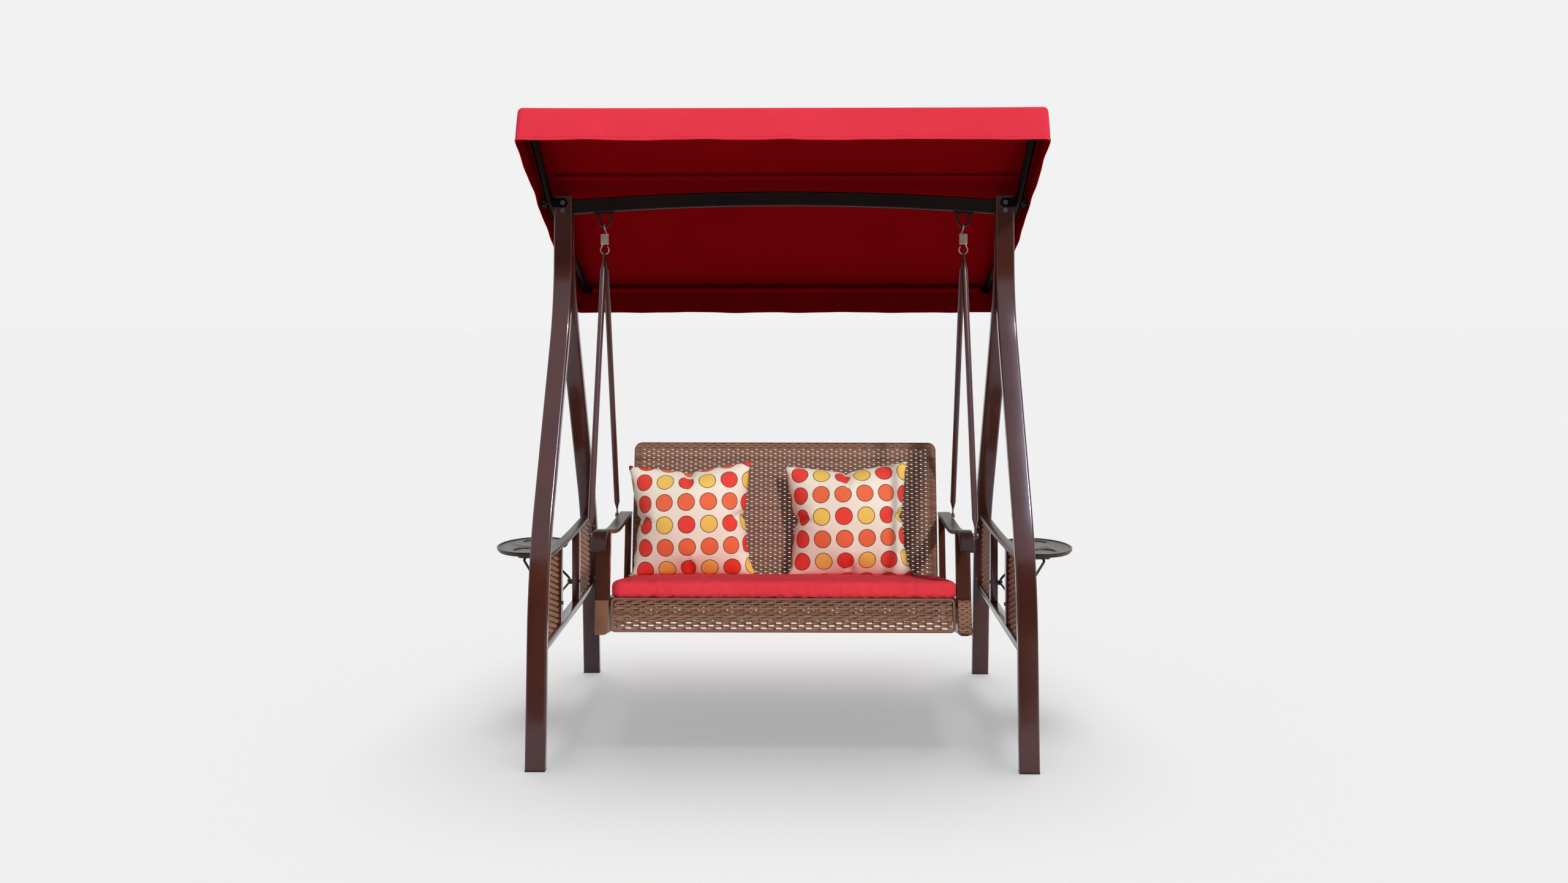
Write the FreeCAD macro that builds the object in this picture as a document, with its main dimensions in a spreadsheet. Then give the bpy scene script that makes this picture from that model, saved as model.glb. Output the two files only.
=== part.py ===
import FreeCAD, Part
import math
import os
import Sketcher
from FreeCAD import Placement, Rotation, Vector

# Canopy swing chair: an A-frame stand of bent steel tube, a canopy that tilts on top of it, a folding
# tray on each side and a wicker seat for two that hangs from springs. All sizes are in millimetres and
# degrees. X runs across the seat, Y from front to rear and Z up. The origin is on the floor, in the
# middle of the whole object's outline.

SIZES = {
    # A-frames
    "frame_width": 1500, "tube_width": 60, "tube_depth": 30, "tube_wall": 1.5,
    "leg_height": 1718, "rear_leg_drop": 6, "foot_cap": 4, "top_cap": 3, "top_lean": 2.6,
    "foot_spread_share": 0.599534, "front_top_share": 0.441748,
    "front_foot_lean": 4.2, "front_foot_run_share": 0.222352, "front_knee_share": 0.56461,
    "front_slope_lean": 27.1, "front_neck_share": 0.37369,
    "rear_foot_lean": 5.6, "rear_foot_run_share": 0.23865, "rear_knee_share": 0.434226,
    "rear_slope_lean": 29.7, "rear_neck_share": 0.459837,
    # crossbeam
    "beam_height": 48, "beam_depth": 40, "beam_rise": 27, "beam_end_drop": 35, "beam_y": -46,
    # bolts through the tops of the legs
    "apex_bolt": 8, "apex_head": 16, "apex_head_height": 5, "apex_drop": 23, "apex_pitch": 25,
    "bolt_gap": 0.3,
    # side panels between the legs
    "rail_width": 30, "top_rail_height": 14, "top_rail_top": 608, "top_rail_sag": 11,
    "lower_rail_height": 22, "lower_rail_bottom": 323,
    "slat_width": 25, "slat_depth": 30, "slat_spacing": 334, "slat_middle_y": 7,
    "panel_thickness": 14, "panel_bolt": 12, "panel_bolt_height": 4, "panel_bolt_inset": 10,
    "upper_bolt_z": 560, "lower_bolt_z": 362,
    # folding trays
    "tray_length": 297, "tray_projection": 201, "tray_top": 566, "tray_plate": 14, "tray_rim": 6,
    "tray_dish": 3, "tray_width_share": 0.4074, "tray_step": 5, "tray_lower": 6, "tray_y": 7,
    "tray_pivot_inset": 2, "tray_pivot_z": 548, "tray_inner_gap": 11,
    "tray_box_share": 0.7744, "tray_box_reach": 104, "tray_box_depth": 10, "tray_box_corner": 16,
    "cup_diameter": 76, "cup_depth": 3, "cup_inset": 105, "cup_spacing_share": 0.5185,
    "hinge_pin": 6, "knuckle": 16, "lug_thickness": 8, "knuckle_length": 22, "hinge_share": 0.66,
    "hinge_gap": 0.3, "lug_root_near": 13, "lug_root_far": 36, "pin_head": 11, "pin_head_height": 3,
    "bail_wire": 8, "bail_pivot_inset": 9, "bail_pivot_z": 410, "bail_rise": 52, "bail_outset": 19,
    "bail_top_spread": 240, "bail_foot": 14, "bail_bend": 14, "bail_gap": 0.4,
    "clip_length": 12, "clip_wall": 3, "clip_inset": 7.5,
    # spring hangers
    "hang_outset": 56.5, "hang_drop": 62, "loop_wire": 8, "loop_width": 37, "loop_plate": 5,
    "loop_plate_length": 66, "loop_plate_width": 34,
    "spring_wire": 3.4, "spring_diameter": 27, "spring_turns": 8, "spring_gap": 0.6, "spring_drop": 24,
    "hook_radius": 8.5, "hook_start": 240, "hook_end": -20, "hook_phase": 150, "ring_phase": 300,
    "ring_radius": 14, "ring_drop": 18, "ring_start": 40, "ring_end": -230,
    # seat hanging rods
    "rod_diameter": 19, "rod_tab": 4, "rod_tab_width": 22, "rod_tab_length": 22, "rod_taper": 30,
    "rod_eye": 9, "rod_gap": 0.4, "rod_eye_rest": 1.1, "front_rod_foot_y": -30, "front_rod_foot_z": 241,
    "rear_rod_foot_y": 532, "rear_rod_foot_z": 307, "rod_bolt": 8, "rod_bolt_head": 15,
    "rod_bolt_head_height": 5, "rod_collar": 13,
    # seat
    "seat_front_y": -340, "seat_front_z": 414, "seat_tilt": 9.5, "seat_room": 437, "apron_height": 104,
    "apron_thickness": 14, "apron_corner": 15, "seat_tube": 25, "seat_tube_wall": 1.5,
    "seat_side_gap": 2.5, "seat_mesh": 2.5, "seat_tube_top": 49,
    "side_box_width": 41, "side_box_top": 43, "side_box_bottom": -60, "side_box_corner": 14,
    "side_box_wall": 5, "side_box_length": 566,
    "back_face": 525.5, "back_top": 561, "back_tube": 25, "back_bend": 15, "back_panel": 9,
    "armrest_width": 45, "armrest_height": 14, "armrest_outset": 28, "armrest_level": 252,
    "armrest_flat_front": 10, "armrest_flat_run": 150, "armrest_bow_radius": 860, "armrest_bow": 10.7,
    "armrest_rear_run": 246, "armrest_curl_radius": 90, "armrest_curl": 60, "armrest_lip": 15,
    "front_post_width": 40, "front_post_depth": 25, "front_post_outset": 22.5, "front_post_y": 12,
    "rear_post_width": 22, "rear_post_y": 541, "rear_post_outset": 16,
    "strap_width": 14, "strap_thickness": 3.5,
    # cushion and pillows
    "cushion_depth": 518, "cushion_height": 50, "cushion_corner": 34, "cushion_draw": 5,
    "cushion_overhang": 6, "pillow_width_share": 0.3876, "pillow_height_share": 0.93685,
    "pillow_draw_share": 0.036406, "pillow_corner_share": 0.038833, "pillow_thickness": 112,
    "left_pillow_share": 0.2963, "right_pillow_share": 0.2107,
    "left_pillow_sink": 3.3, "right_pillow_sink": 2.85, "soft_gap": 0.5,
    # canopy
    "canopy_overhang": 50, "canopy_tilt": 25.2, "canopy_front": 438, "canopy_rear": 778, "canopy_roof": 71.5,
    "valance": 108, "canopy_cloth": 2.5, "canopy_edge": 12, "canopy_corner": 18,
    "pivot_y": -46, "pivot_drop": 21, "canopy_tube": 25, "canopy_tube_wall": 1.5, "canopy_bar": 22,
    "arm_bend_radius": 300, "bar_inset": 14, "arm_gap": 1.5, "bracket_plate": 3, "bracket_height": 30,
    "pivot_bolt": 10, "knob_diameter": 34, "knob_thickness": 13, "knob_scallop": 12, "knob_lobes": 6,
    "cut_overrun": 2,
}

# Sizes that follow from the ones above, so that the chair still fits together when one of them changes.
# A taller stand has legs of the same form and a wider stance.
FOLLOWING = {
    "foot_spread": "=leg_height * foot_spread_share",
    "front_top_reach": "=foot_spread * front_top_share",
    "front_foot_run": "=leg_height * front_foot_run_share",
    "front_knee_radius": "=leg_height * front_knee_share",
    "front_neck_radius": "=leg_height * front_neck_share",
    "rear_foot_run": "=leg_height * rear_foot_run_share",
    "rear_knee_radius": "=leg_height * rear_knee_share",
    "rear_neck_radius": "=leg_height * rear_neck_share",
    "rear_leg_height": "=leg_height - rear_leg_drop",
    "beam_end_height": "=leg_height - beam_end_drop",
    "apex_upper": "=leg_height - apex_drop",
    "pivot_z": "=leg_height - pivot_drop",
    "hang_z": "=beam_end_height - hang_drop",
    "spring_top": "=hang_z - spring_drop",
    "seat_width": "=frame_width - seat_room",
    "hang_x": "=seat_width / 2 + hang_outset",
    "armrest_x": "=seat_width / 2 + armrest_outset",
    "front_post_x": "=seat_width / 2 + front_post_outset",
    "rear_post_x": "=seat_width / 2 + rear_post_outset",
    "canopy_width": "=frame_width + 2 * canopy_overhang",
    "tray_pivot_x": "=frame_width / 2 - tray_pivot_inset",
    "bail_pivot_x": "=frame_width / 2 - bail_pivot_inset",
    "tray_reach": "=frame_width / 2 + tray_projection",
    "tray_middle_x": "=tray_reach - tray_length * tray_width_share",
    "tray_box_length": "=tray_length * tray_box_share",
    "cup_x": "=tray_reach - cup_inset",
    "cup_spacing": "=tray_length * cup_spacing_share",
    "hinge_spacing": "=tray_length * hinge_share",
    "bail_spread": "=slat_spacing + 2 * bail_outset",
    "pillow_width": "=seat_width * pillow_width_share",
    "pillow_height": "=pillow_width * pillow_height_share",
    "pillow_draw": "=pillow_width * pillow_draw_share",
    "pillow_corner": "=pillow_width * pillow_corner_share",
    "left_pillow_x": "=-seat_width * left_pillow_share",
    "right_pillow_x": "=seat_width * right_pillow_share",
}
CONTENTS = {**SIZES, **FOLLOWING}

doc = FreeCAD.newDocument("canopy_swing_chair")
sheet = doc.addObject("Spreadsheet::Sheet", "sizes")
for row, (alias, content) in enumerate(CONTENTS.items(), start=1):
    sheet.set("A%d" % row, alias)
    sheet.set("B%d" % row, str(content))
    sheet.setAlias("B%d" % row, alias)
doc.recompute()


class Cells:
    """Reads a named size from the sheet, as cells.tube_width."""

    def __getattr__(self, alias):
        return float(sheet.get(alias))


cells = Cells()
sub_parts = []


def worth(formula):
    """The present value of a formula in the sheet's names."""
    return float(sheet.evalExpression(formula))


def bind(item, formulas):
    """Ties an object's properties to formulas in the sheet's names."""
    for prop, formula in formulas.items():
        item.setExpression(prop, tied(formula))


def tied(formula):
    """A formula with each of the sheet's names written as the other objects see it."""
    text = formula
    for alias in sorted(CONTENTS, key=len, reverse=True):
        text = swap_word(text, alias, "sizes." + alias)
    return text


def swap_word(text, word, new):
    """Replaces a whole word in a formula and leaves longer names that hold it alone."""
    out = ""
    at = 0
    while at < len(text):
        end = at + len(word)
        before = text[at - 1] if at else " "
        after = text[end] if end < len(text) else " "
        whole = not (before.isalnum() or before in "_.") and not (after.isalnum() or after == "_")
        if text[at:end] == word and whole:
            out += new
            at = end
        else:
            out += text[at]
            at += 1
    return out


def keep(item, label=None):
    """Names an object as one of the chair's sub-parts."""
    item.Label = label or item.Label
    sub_parts.append(item)
    return item


def mirror(source, label):
    """The left-hand sub-part that matches a right-hand one."""
    twin = doc.addObject("Part::Mirroring", label)
    twin.Source = source
    twin.Normal = Vector(1, 0, 0)
    return keep(twin, label)


def turned(axis, degrees):
    return Rotation(axis, degrees)


X_AXIS = Vector(1, 0, 0)
Y_AXIS = Vector(0, 1, 0)
Z_AXIS = Vector(0, 0, 1)

# The canopy's rear upper edge is the rearmost place of the whole chair, and the front foot's face is the
# foremost, so the middle between them is the origin.
tilt = math.radians(cells.canopy_tilt)
edge_y = (cells.canopy_rear - cells.canopy_edge) * math.cos(tilt)
edge_z = (cells.canopy_roof - cells.canopy_edge) * math.sin(tilt)
rearmost = cells.pivot_y + edge_y + edge_z + cells.canopy_edge
foremost = -worth("(foot_spread + tube_depth) / 2")
middle = (rearmost + foremost) / 2

STAND = Placement(Vector(0, -middle, 0), Rotation())
SEAT = Placement(
    Vector(0, cells.seat_front_y - middle, cells.seat_front_z), turned(X_AXIS, -cells.seat_tilt))
CANOPY = Placement(
    Vector(0, cells.pivot_y - middle, cells.pivot_z), turned(X_AXIS, -cells.canopy_tilt))


def put(item, frame, x=0, y=0, z=0, rotation=Rotation()):
    """Places an object in the stand's, the seat's or the canopy's frame."""
    item.Placement = frame.multiply(Placement(Vector(x, y, z), rotation))
    return item


def body_in(frame, label, x=0, y=0, z=0, rotation=Rotation()):
    body = doc.addObject("PartDesign::Body", label)
    body.Label = label
    return put(body, frame, x, y, z, rotation)


def sketch_in(body, role, name, offset="0"):
    """A sketch on one of the body's own origin planes, moved along the plane's normal."""
    sketch = body.newObject("Sketcher::SketchObject", body.Name + "_" + name)
    plane = next(item for item in body.Origin.OriginFeatures if item.Role == role)
    sketch.AttachmentSupport = [(plane, "")]
    sketch.MapMode = "FlatFace"
    bind(sketch, {"AttachmentOffset.Base.z": offset})
    return sketch


def tie(sketch, kind, where, formula):
    """Adds a driving constraint whose value is a formula in the sheet's names."""
    amount = worth(formula)
    amount = math.radians(amount) if kind == "Angle" else amount
    number = sketch.addConstraint(Sketcher.Constraint(kind, *where, amount))
    name = "size%d" % number
    sketch.renameConstraint(number, name)
    sketch.setExpression("Constraints." + name, tied(formula))


def outline(sketch, corners):
    """A closed outline of straight edges through corners given as pairs of formulas."""
    first = sketch.GeometryCount
    points = [Vector(worth(x), worth(y), 0) for x, y in corners]
    count = len(points)
    for index in range(count):
        sketch.addGeometry(Part.LineSegment(points[index], points[(index + 1) % count]))
    for index in range(count):
        following = first + (index + 1) % count
        sketch.addConstraint(Sketcher.Constraint("Coincident", first + index, 2, following, 1))
    for index, (x, y) in enumerate(corners):
        tie(sketch, "DistanceX", (-1, 1, first + index, 1), x)
        tie(sketch, "DistanceY", (-1, 1, first + index, 1), y)


def rectangle(sketch, width, height, x="0", y="0"):
    """A rectangle about a middle, with its sides given as formulas."""
    left = "%s - (%s) / 2" % (x, width)
    right = "%s + (%s) / 2" % (x, width)
    low = "%s - (%s) / 2" % (y, height)
    high = "%s + (%s) / 2" % (y, height)
    outline(sketch, [(left, low), (right, low), (right, high), (left, high)])


def circle(sketch, diameter, x="0", y="0"):
    number = sketch.GeometryCount
    centre = Vector(worth(x), worth(y), 0)
    sketch.addGeometry(Part.Circle(centre, Z_AXIS, worth(diameter) / 2))
    tie(sketch, "Diameter", (number,), diameter)
    tie(sketch, "DistanceX", (-1, 1, number, 3), x)
    tie(sketch, "DistanceY", (-1, 1, number, 3), y)


def pad(body, sketch, length, both_ways=False, reverse=False):
    feature = body.newObject("PartDesign::Pad", sketch.Name + "_pad")
    feature.Profile = sketch
    feature.Midplane = both_ways
    feature.Reversed = reverse
    bind(feature, {"Length": length})
    doc.recompute()
    return feature


def pocket(body, sketch, length, both_ways=False, reverse=False):
    """A cut into the body, whose volume has to become smaller."""
    before = body.Shape.Volume
    feature = body.newObject("PartDesign::Pocket", sketch.Name + "_pocket")
    feature.Profile = sketch
    feature.Midplane = both_ways
    feature.Reversed = reverse
    bind(feature, {"Length": length})
    doc.recompute()
    if not body.Shape.Volume < before:
        raise RuntimeError(sketch.Name + " cuts nothing")
    return feature


def round_off(body, radius, chosen):
    """Rounds the body's edges that the test function chooses."""
    base = body.Tip
    names = ["Edge%d" % (n + 1) for n, edge in enumerate(base.Shape.Edges) if chosen(edge)]
    feature = body.newObject("PartDesign::Fillet", body.Name + "_round%d" % len(body.Group))
    feature.Base = (base, names)
    bind(feature, {"Radius": radius})
    doc.recompute()
    return feature


def runs_along(edge, axis):
    """True where an edge is straight and lies along an axis."""
    if edge.Curve.TypeId != "Part::GeomLine":
        return False
    return abs(edge.Curve.Direction.dot(axis)) > math.cos(math.radians(1))


def bent_path(body, role, start_heading, moves, end=None):
    """A path of straight runs joined by tangent bends, drawn from the sketch's origin.

    moves alternates ("run", length) and ("bend", radius, new heading). A length of None is left to the
    place where the path ends, which end gives as a pair of formulas. Headings are in degrees from the
    sketch's first axis.
    """
    sketch = sketch_in(body, role, "path")
    at = Vector(0, 0, 0)
    heading = math.radians(worth(start_heading))
    lengths = free_lengths(start_heading, moves, end)
    for move in moves:
        if move[0] == "run":
            length = lengths.pop(0)
            far = at + Vector(math.cos(heading), math.sin(heading), 0) * length
            sketch.addGeometry(Part.LineSegment(at, far))
            at = far
        else:
            following = math.radians(worth(move[2]))
            side = 1 if following > heading else -1
            radius = worth(move[1])
            centre = at + Vector(-math.sin(heading), math.cos(heading), 0) * (side * radius)
            begin = heading - side * math.pi / 2
            finish = following - side * math.pi / 2
            low, high = (begin, finish) if side > 0 else (finish, begin)
            sketch.addGeometry(Part.ArcOfCircle(Part.Circle(centre, Z_AXIS, radius), low, high))
            at = centre + Vector(math.cos(finish), math.sin(finish), 0) * radius
            heading = following
    ends = []
    heading = worth(start_heading)
    for index, move in enumerate(moves):
        if move[0] == "run":
            ends.append((1, 2))
        else:
            ends.append((1, 2) if worth(move[2]) > heading else (2, 1))
            heading = worth(move[2])
    sketch.addConstraint(Sketcher.Constraint("Coincident", 0, 1, -1, 1))
    heading_formula = start_heading
    for index, move in enumerate(moves):
        if index:
            sketch.addConstraint(
                Sketcher.Constraint("Tangent", index - 1, ends[index - 1][1], index, ends[index][0]))
        if move[0] == "bend":
            tie(sketch, "Radius", (index,), move[1])
            heading_formula = move[2]
        else:
            tie(sketch, "Angle", (index,), heading_formula)
            if move[1] is not None:
                tie(sketch, "Distance", (index,), move[1])
    if end:
        tie(sketch, "DistanceX", (-1, 1, len(moves) - 1, 2), end[0])
        tie(sketch, "DistanceY", (-1, 1, len(moves) - 1, 2), end[1])
    doc.recompute()
    return sketch


def free_lengths(start_heading, moves, end):
    """The runs' lengths, with the two left free worked out from the place where the path ends."""
    reach = Vector(0, 0, 0)
    heading = math.radians(worth(start_heading))
    free = []
    lengths = []
    for move in moves:
        direction = Vector(math.cos(heading), math.sin(heading), 0)
        if move[0] == "run":
            lengths.append(None if move[1] is None else worth(move[1]))
            if move[1] is None:
                free.append(direction)
            else:
                reach += direction * worth(move[1])
        else:
            following = math.radians(worth(move[2]))
            side = 1 if following > heading else -1
            turn_x = math.sin(following) - math.sin(heading)
            turn_y = math.cos(heading) - math.cos(following)
            reach += Vector(turn_x, turn_y, 0) * (side * worth(move[1]))
            heading = following
    if not free:
        return lengths
    missing = Vector(worth(end[0]), worth(end[1]), 0) - reach
    first, second = free
    area = first.x * second.y - first.y * second.x
    solved = [
        (missing.x * second.y - missing.y * second.x) / area,
        (first.x * missing.y - first.y * missing.x) / area]
    return [solved.pop(0) if length is None else length for length in lengths]


def swept(body, profile, path):
    feature = body.newObject("PartDesign::AdditivePipe", body.Name + "_pipe")
    feature.Profile = profile
    feature.Spine = (path, ["Edge%d" % (n + 1) for n in range(path.GeometryCount)])
    doc.recompute()
    return feature


def primitive(kind, name, formulas):
    item = doc.addObject("Part::" + kind, name)
    bind(item, formulas)
    return item


def box(name, length, width, height):
    return primitive("Box", name, {"Length": length, "Width": width, "Height": height})


def rod(name, radius, height):
    return primitive("Cylinder", name, {"Radius": radius, "Height": height})


def joined(label, items):
    """Several pieces in one solid."""
    fuse = doc.addObject("Part::MultiFuse", label)
    fuse.Shapes = items
    return fuse


def group(label, items):
    """Separate solids that share one sub-part."""
    compound = doc.addObject("Part::Compound", label)
    compound.Links = items
    return compound


def cut(label, base, tool):
    result = doc.addObject("Part::Cut", label)
    result.Base = base
    result.Tool = tool
    return result


# Legs: rectangular steel tube, bent twice. The front leg starts at its foot, leans back, and ends
# upright at the top, and the rear leg meets its back there.

leg_x = worth("(frame_width - tube_width) / 2")
front_foot_y = -cells.foot_spread / 2
rear_foot_y = cells.foot_spread / 2
REAR_REACH = ("foot_spread - front_top_reach + (leg_height - rear_leg_height) * tan(top_lean)"
              " - tube_depth / cos(top_lean)")


def leg(label, foot_y, start, moves, end, hollow):
    body = body_in(STAND, label, leg_x, foot_y, cells.foot_cap)
    path = bent_path(body, "YZ_Plane", start, moves, end)
    profile = sketch_in(body, "XY_Plane", "section")
    rectangle(profile, "tube_width", "tube_depth")
    if hollow:
        rectangle(profile, "tube_width - 2 * tube_wall", "tube_depth - 2 * tube_wall")
    swept(body, profile, path)
    return body


FRONT_MOVES = [
    ("run", "front_foot_run"), ("bend", "front_knee_radius", "90 - front_slope_lean"), ("run", None),
    ("bend", "front_neck_radius", "90 - top_lean"), ("run", None)]
REAR_MOVES = [
    ("run", "rear_foot_run"), ("bend", "rear_knee_radius", "90 + rear_slope_lean"), ("run", None),
    ("bend", "rear_neck_radius", "90 - top_lean"), ("run", None)]
FRONT_END = ("front_top_reach", "leg_height - foot_cap")
REAR_END = ("-(" + REAR_REACH + ")", "rear_leg_height - foot_cap")

leg_kinds = [
    ("front_leg", front_foot_y, "90 - front_foot_lean", FRONT_MOVES, FRONT_END),
    ("rear_leg", rear_foot_y, "90 + rear_foot_lean", REAR_MOVES, REAR_END)]
cores = {}
for name, foot_y, start, moves, end in leg_kinds:
    cores[name] = leg(name + "_core", foot_y, start, moves, end, hollow=False)


# Each halving narrows the search for a height on a leg's path, down to far below any tolerance.
HALVINGS = 40


def leg_y(name, height):
    """The Y of a leg's middle line at a height above the floor, found on the leg's own path."""
    base = cells.foot_cap
    foot = front_foot_y if name == "front_leg" else rear_foot_y
    for edge in cores[name].Group[0].Shape.Edges:
        near, far = edge.FirstParameter, edge.LastParameter
        if edge.valueAt(near).z > edge.valueAt(far).z:
            near, far = far, near
        if edge.valueAt(near).z + base <= height <= edge.valueAt(far).z + base:
            for halving in range(HALVINGS):
                half = (near + far) / 2
                if edge.valueAt(half).z + base < height:
                    near = half
                else:
                    far = half
            return edge.valueAt(near).y + foot
    raise ValueError("no leg at that height")


def bolt_frame(step):
    """On a bolt's axis in the front leg's middle, with Y straight through both legs and Z along them."""
    height = cells.apex_upper - step * cells.apex_pitch
    place = Placement(Vector(leg_x, leg_y("front_leg", height), height), turned(X_AXIS, -cells.top_lean))
    return STAND.multiply(place)


ALONG_Y = turned(X_AXIS, -90)
apex_holes = []
for step in (0, 1):
    hole = rod("apex_hole_%d" % step, "apex_bolt / 2 + bolt_gap", "4 * tube_depth")
    apex_holes.append(put(hole, bolt_frame(step), 0, -cells.tube_depth, 0, ALONG_Y))
holes = joined("apex_holes", apex_holes)
for name, foot_y, start, moves, end in leg_kinds:
    tube = leg(name + "_tube", foot_y, start, moves, end, hollow=True)
    right = keep(cut(name + "_right", tube, holes))
    mirror(right, name + "_left")

caps = []
for foot_y in (front_foot_y, rear_foot_y):
    for side in (-1, 1):
        cap = box("foot_cap_%d" % len(caps), "tube_width", "tube_depth", "foot_cap")
        put(cap, STAND, side * leg_x - cells.tube_width / 2, foot_y - cells.tube_depth / 2)
        caps.append(cap)
keep(group("foot_caps", caps))

# Each leg's end face turns with its path, so its cap is turned by the same angle.
top_caps = []
for name, top, foot_lean in (
        ("front_leg", cells.leg_height, cells.front_foot_lean),
        ("rear_leg", cells.rear_leg_height, -cells.rear_foot_lean)):
    for side in (-1, 1):
        cap = box("top_cap_%d" % len(top_caps), "tube_width", "tube_depth", "top_cap")
        turn = foot_lean - cells.top_lean
        place = Vector(side * leg_x, leg_y(name, top - cells.bolt_gap), top)
        corner = Placement(place, turned(X_AXIS, turn))
        put(cap, STAND.multiply(corner), -cells.tube_width / 2, -cells.tube_depth / 2)
        top_caps.append(cap)
keep(group("leg_top_caps", top_caps))

# Crossbeam: rectangular tube with a gentle arch, welded between the legs.

BEAM_HALF = "(frame_width / 2 - tube_width)"
BEAM_RADIUS = "((" + BEAM_HALF + "^2 + beam_rise^2) / (2 * beam_rise))"


def arched(body, role, half, radius, near, far, end_height, sagging=False):
    """An outline between two arcs about one centre, cut off upright at both ends."""
    sketch = sketch_in(body, role, "arch")
    side = -1 if sagging else 1
    centre_formula = "%s - (%d) * sqrt((%s)^2 - (%s)^2)" % (end_height, side, radius, half)
    centre = Vector(0, worth(centre_formula), 0)
    radii = ["(%s) - (%s)" % (radius, near), "(%s) + (%s)" % (radius, far)]
    reach = worth(half)
    tops = []
    for index, formula in enumerate(radii):
        big = worth(formula)
        swing = math.asin(reach / big)
        upright = side * math.pi / 2
        arc = Part.ArcOfCircle(Part.Circle(centre, Z_AXIS, big), upright - swing, upright + swing)
        sketch.addGeometry(arc)
        tops.append((arc.StartPoint, arc.EndPoint))
    # The start of each arc lies at one side of the outline and its end at the other.
    sketch.addGeometry(Part.LineSegment(tops[0][0], tops[1][0]))
    sketch.addGeometry(Part.LineSegment(tops[0][1], tops[1][1]))
    for line, end in ((2, 1), (3, 2)):
        sketch.addConstraint(Sketcher.Constraint("Coincident", line, 1, 0, end))
        sketch.addConstraint(Sketcher.Constraint("Coincident", line, 2, 1, end))
        sketch.addConstraint(Sketcher.Constraint("Vertical", line))
    sketch.addConstraint(Sketcher.Constraint("Coincident", 0, 3, 1, 3))
    tie(sketch, "DistanceX", (-1, 1, 0, 3), "0")
    tie(sketch, "DistanceY", (-1, 1, 0, 3), centre_formula)
    for index, formula in enumerate(radii):
        tie(sketch, "Radius", (index,), formula)
    right, left = (1, 2) if side > 0 else (2, 1)
    tie(sketch, "DistanceX", (-1, 1, 0, right), half)
    tie(sketch, "DistanceX", (-1, 1, 0, left), "-(" + half + ")")
    return sketch


def beam(label, shrink, lengthen):
    body = body_in(STAND, label, 0, cells.beam_y)
    arch = arched(body, "XZ_Plane", BEAM_HALF + " + " + lengthen, BEAM_RADIUS, "beam_height / 2 - " + shrink,
                  "beam_height / 2 - " + shrink, "beam_end_height")
    pad(body, arch, "beam_depth - 2 * " + shrink, both_ways=True)
    return body


keep(cut("crossbeam", beam("beam_tube", "0", "0"), beam("beam_hollow", "tube_wall", "cut_overrun")))

# Side panels: two rails and two slats between each pair of legs, with wicker in the outer bays. The
# rails run into the legs' middle and are cut to the legs' outer faces.

both_cores = joined("leg_cores", [cores["front_leg"], cores["rear_leg"]])
doc.recompute()
slat_ys = [cells.slat_middle_y - cells.slat_spacing / 2, cells.slat_middle_y + cells.slat_spacing / 2]


def level_rail(top):
    """The half length and the middle of a rail that ends in the legs' middle lines."""
    near = leg_y("front_leg", top)
    far = leg_y("rear_leg", top)
    return (far - near) / 2, (far + near) / 2


half, rail_middle = level_rail(cells.top_rail_top)
RAIL_RADIUS = "((%.4f)^2 + top_rail_sag^2) / (2 * top_rail_sag)" % half
top_body = body_in(STAND, "top_rail_blank", leg_x, rail_middle)
arch = arched(top_body, "YZ_Plane", "%.4f" % half, RAIL_RADIUS, "0", "top_rail_height", "top_rail_top",
              sagging=True)
pad(top_body, arch, "rail_width", both_ways=True)
top_rail = keep(cut("top_rail_right", top_body, both_cores))
mirror(top_rail, "top_rail_left")

half, low_middle = level_rail(worth("lower_rail_bottom + lower_rail_height / 2"))
low_box = box("lower_rail_blank", "rail_width", "%.4f" % (2 * half), "lower_rail_height")
put(low_box, STAND, leg_x - cells.rail_width / 2, low_middle - half, cells.lower_rail_bottom)
lower_rail = keep(cut("lower_rail_right", low_box, both_cores))
mirror(lower_rail, "lower_rail_left")

bay_bottom = worth("lower_rail_bottom + lower_rail_height")
bay_top = worth("top_rail_top - top_rail_height / 2 - top_rail_sag")
slats = []
for slat_y in slat_ys:
    blank = box("slat_blank_%d" % len(slats), "slat_width", "slat_depth",
                "top_rail_top - top_rail_height / 2 - top_rail_sag - lower_rail_bottom - lower_rail_height")
    put(blank, STAND, leg_x - cells.slat_width / 2, slat_y - cells.slat_depth / 2, bay_bottom)
    slats.append(cut("slat_%d" % len(slats), blank, top_body))
slat_pair = keep(group("side_slats_right", slats))
mirror(slat_pair, "side_slats_left")

for place, name, face in (
        ("front", "front_leg", slat_ys[0] - cells.slat_depth / 2),
        ("rear", "rear_leg", slat_ys[1] + cells.slat_depth / 2)):
    body = body_in(STAND, "wicker_blank_" + place, leg_x)
    sketch = sketch_in(body, "YZ_Plane", "bay")
    low = "%.4f" % leg_y(name, bay_bottom)
    high = "%.4f" % leg_y(name, bay_top)
    bottom = "lower_rail_bottom + lower_rail_height"
    top = "top_rail_top - top_rail_height / 2 - top_rail_sag"
    outline(sketch, [(low, bottom), ("%.4f" % face, bottom), ("%.4f" % face, top), (high, top)])
    pad(body, sketch, "panel_thickness", both_ways=True)
    rough = cut("wicker_rough_" + place, body, both_cores)
    panel = keep(cut("side_wicker_%s_right" % place, rough, top_body))
    mirror(panel, "side_wicker_%s_left" % place)

# Round bolt heads on the panels: on the rear leg beside the wicker and on the slats where the trays'
# stays are clipped.
heads = []


def panel_head(x, y, z, rotation):
    head = rod("panel_bolt_%d" % len(heads), "panel_bolt / 2", "panel_bolt_height")
    heads.append(put(head, STAND, x, y, z, rotation))


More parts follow.
